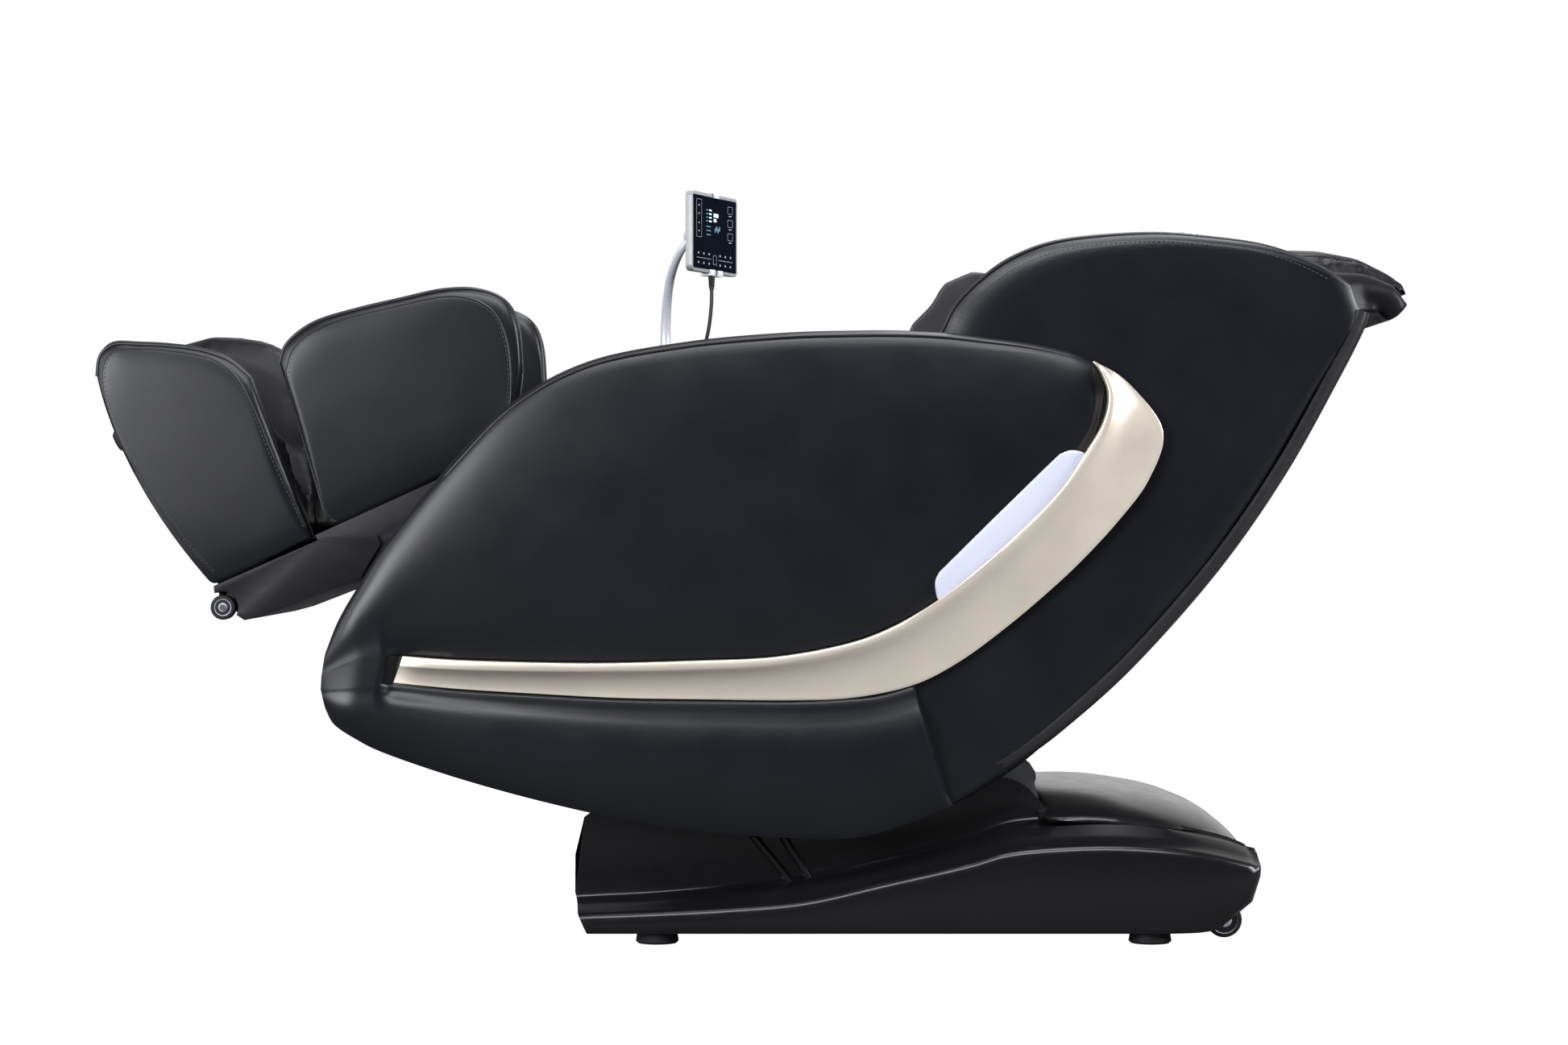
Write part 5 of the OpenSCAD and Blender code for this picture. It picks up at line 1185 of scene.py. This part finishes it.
# Shoulder pads: air cells in a leather case with a sewn rim
pod_leather = finish("pod_leather", leather_skin, [(0.0115, 0.0116, 0.0136), (0.016, 0.016, 0.019)],
                     640, (0.4, 0.52), 0.26, 0.12, specular=0.3)
pod_upper = curve([(190, 798), (206, 838), (231, 863), (250, 894), (289, 911), (345, 905),
                   (410, 872), (452, 826)], 6)
pod_lower = curve([(196, 776), (222, 752), (250, 735), (282, 722), (320, 716), (368, 724),
                   (420, 752), (458, 796)], 6)
for side, word in SIDES:
    pod = plump("shoulder_pod_" + word, "shoulder_pad_" + word, pod_leather, "backrest", 4.5, 5,
                under=(0, side, 0), shrink=1.0)
    rim = pod_upper + pod_lower[::-1]
    middle = Vector((310, 812))
    rim = [p + (middle - p).normalized() * 11 for p in rim]
    rim = landed(pod, [(p[0], side * 150, p[1]) for p in rim], (0, side, 0), 0.2)
    sewn("pad_stitching_" + word, stitch_row(rim), thread_black, "backrest")
cap_grey = finish("cap_grey", moulded, [(0.26, 0.28, 0.36), (0.3, 0.32, 0.4)], 1500, (0.18, 0.28),
                  0.05, 0.05, specular=0.5, coat=0.3)
dress(["speakers"], cap_grey)

# ---- Massage carriage ----------------------------------------------------
# A pressed steel carriage runs on the track behind the back pad; bright steel arms carry four
# ribbed elastomer heads.
head_rubber = finish("head_rubber", moulded, [(0.42, 0.35, 0.24), (0.47, 0.4, 0.28)], 700,
                     (0.5, 0.66), 0.25, 0.12, specular=0.35)
turned_steel = finish("turned_steel", drawn, [(0.42, 0.43, 0.45), (0.34, 0.35, 0.37)], None,
                      (0.24, 0.36), 0.1, 0.05, metal=1.0)
dress(["carriage_frame"], powder_steel)
dress(["kneading_arms"], turned_steel)
dress(["upper_massage_heads", "lower_massage_heads", "sole_rollers"], head_rubber)

# ---- Arm mouldings -------------------------------------------------------
# Black ABS arm bodies behind the leather; they show only in the gap beside the seat and below.
dress(["arm_frame_left", "arm_frame_right"], housing_plastic)

# ---- Leg rest shells -----------------------------------------------------
# Warm dark grey ABS trays. The foot tray slides out along the calf tray on two rods.
leg_plastic = finish("leg_plastic", moulded, [(0.0085, 0.008, 0.0098), (0.01, 0.0095, 0.0114)],
                     1200, (0.34, 0.46), 0.14, 0.1, specular=0.1)
rounded("calf_shell", 2.2, leg_plastic, "calf_rest")
rounded("foot_shell", 2.2, leg_plastic, "foot_rest")

# ---- Leg rest sides ------------------------------------------------------
# Leather over foam and plywood, piped round the rim and top-stitched inside it.
side_vs = [0, 0.006, 0.016, 0.03, 0.05, 0.08, 0.12, 0.18, 0.26, 0.36, 0.48, 0.6, 0.7, 0.78, 0.85,
           0.9, 0.94, 0.97, 0.988, 1]
side_fall = [(0, 16), (0.006, 12.2), (0.016, 9.4), (0.03, 7.4), (0.05, 5.6), (0.08, 3.9),
             (0.12, 2.6), (0.18, 1.5), (0.36, 0.4), (0.5, 0), (0.7, 0.6), (0.82, 1.5), (0.9, 2.9),
             (0.95, 4.8), (0.988, 7), (1, 9)]
calf_top = curve([(-656, 788), (-646, 815), (-610, 843), (-553, 861), (-489, 876), (-433, 888),
                  (-385, 888), (-347, 872), (-329, 835), (-324, 772)], 6)
calf_low = curve([(-590, 566), (-583, 563), (-560, 571), (-515, 592), (-470, 613), (-430, 632),
                  (-395, 648), (-370, 660), (-350, 668), (-336, 674)], 6)
foot_top = curve([(-906, 770), (-902, 799), (-884, 815), (-850, 815), (-810, 813), (-765, 807),
                  (-727, 793), (-697, 768)], 6)
foot_mid = curve([(-868, 660), (-860, 662), (-832, 668), (-800, 672), (-760, 672), (-720, 670),
                  (-682, 668), (-657, 664)], 6)
foot_low = curve([(-752, 487), (-744, 484), (-728, 489), (-705, 500), (-680, 512), (-655, 524),
                  (-634, 535), (-611, 545)], 6)
calf_seam = curve([(-578, 572), (-589, 578), (-610, 640), (-628, 700), (-640, 745), (-642, 779),
                   (-631, 806), (-606, 826), (-563, 843), (-500, 858), (-442, 871), (-408, 872),
                   (-380, 864), (-358, 843), (-345, 800), (-342, 740), (-350, 690)], 4)
foot_seam = curve([(-880, 800), (-850, 801), (-810, 799), (-768, 793), (-737, 782), (-712, 758),
                   (-690, 715), (-668, 660), (-640, 600), (-622, 560)], 5)
foot_heel_seam = curve([(-742, 498), (-780, 540), (-830, 612), (-868, 678), (-890, 740),
                        (-893, 780), (-880, 800)], 6)


leg_out, leg_in, leg_piping_y = 245, 205, 234.2


def leg_side(name, face_at, count, body, node, side, seams):
    """Padded side panel with its rim piping and the stitching on its outer face."""
    rings = []
    for i in range(count):
        near_end = min(i, count - 1 - i) / 6
        rim = 9 * (1 - min(near_end, 1)) ** 2.4
        outer, back = [], []
        for v in side_vs:
            p = face_at(i, v)
            outer.append((p[0], side * (leg_out - max(along(side_fall, v), rim)), p[1]))
            back.append((p[0], side * (leg_in + along([(0, 12), (0.016, 8), (0.05, 4), (0.1, 1),
                    (0.18, 0)], v)), p[1]))
        rings.append(outer + back[::-1])
    panel = piece(name + "_leather", *loft(rings), black_leather, body, "leather", (node,), 55)
    rim_line = [face_at(i, 0.012) for i in range(count)]
    path = [(p[0], side * leg_piping_y, p[1]) for p in rim_line]
    sewn(name + "_piping", tube(path, [2.7] * len(path), 10), piping_leather, body)
    rows, welts = [], []
    for seam in seams:
        on_seam = [(p[0], side * leg_out, p[1]) for p in seam]
        rows.append(stitch_row(landed(panel, on_seam, (0, -side, 0), 0.2)))
        beside = [(p[0], side * leg_out, p[1]) for p in inside(seam, -3.2)]
        fold = landed(panel, beside, (0, -side, 0), -0.5)
        welts.append(tube(fold, [1.5] * len(fold), 8))
    sewn(name + "_stitching", joined(*rows), thread_black, body)
    sewn(name + "_seam", joined(*welts), piping_leather, body)


for side, word in SIDES:
    leg_side("calf_side_" + word, lambda i, v: calf_top[i].lerp(calf_low[i], v), len(calf_top),
             "calf_rest", "calf_side_" + word, side, [calf_seam])
    leg_side("foot_side_" + word, lambda i, v: bent(foot_top[i], foot_mid[i], foot_low[i], v, 0.4),
             len(foot_top), "foot_rest", "foot_side_" + word, side, [foot_seam, foot_heel_seam])

# ---- Leg rest cushions ---------------------------------------------------
# Two wells for the calves and two for the feet, sewn in leather over foam and air cells.
calf_pad = plump("calf_cushion", "calf_pad", seat_leather, "calf_rest", 5.5, 6,
                 under=(0.415, 0, -0.91))
sink(calf_pad, lambda at: abs(abs(at.y) - leg_seam), 6, 2.5, lambda at, n: n.z > 0.05)
foot_pad = plump("foot_cushion", "foot_pad", seat_leather, "foot_rest", 5.5, 5,
                 under=(-0.6, 0, -0.8))
sink(foot_pad, lambda at: abs(abs(at.y) - leg_seam), 6, 2.5, lambda at, n: n.x > 0.05 or n.z > 0.3)
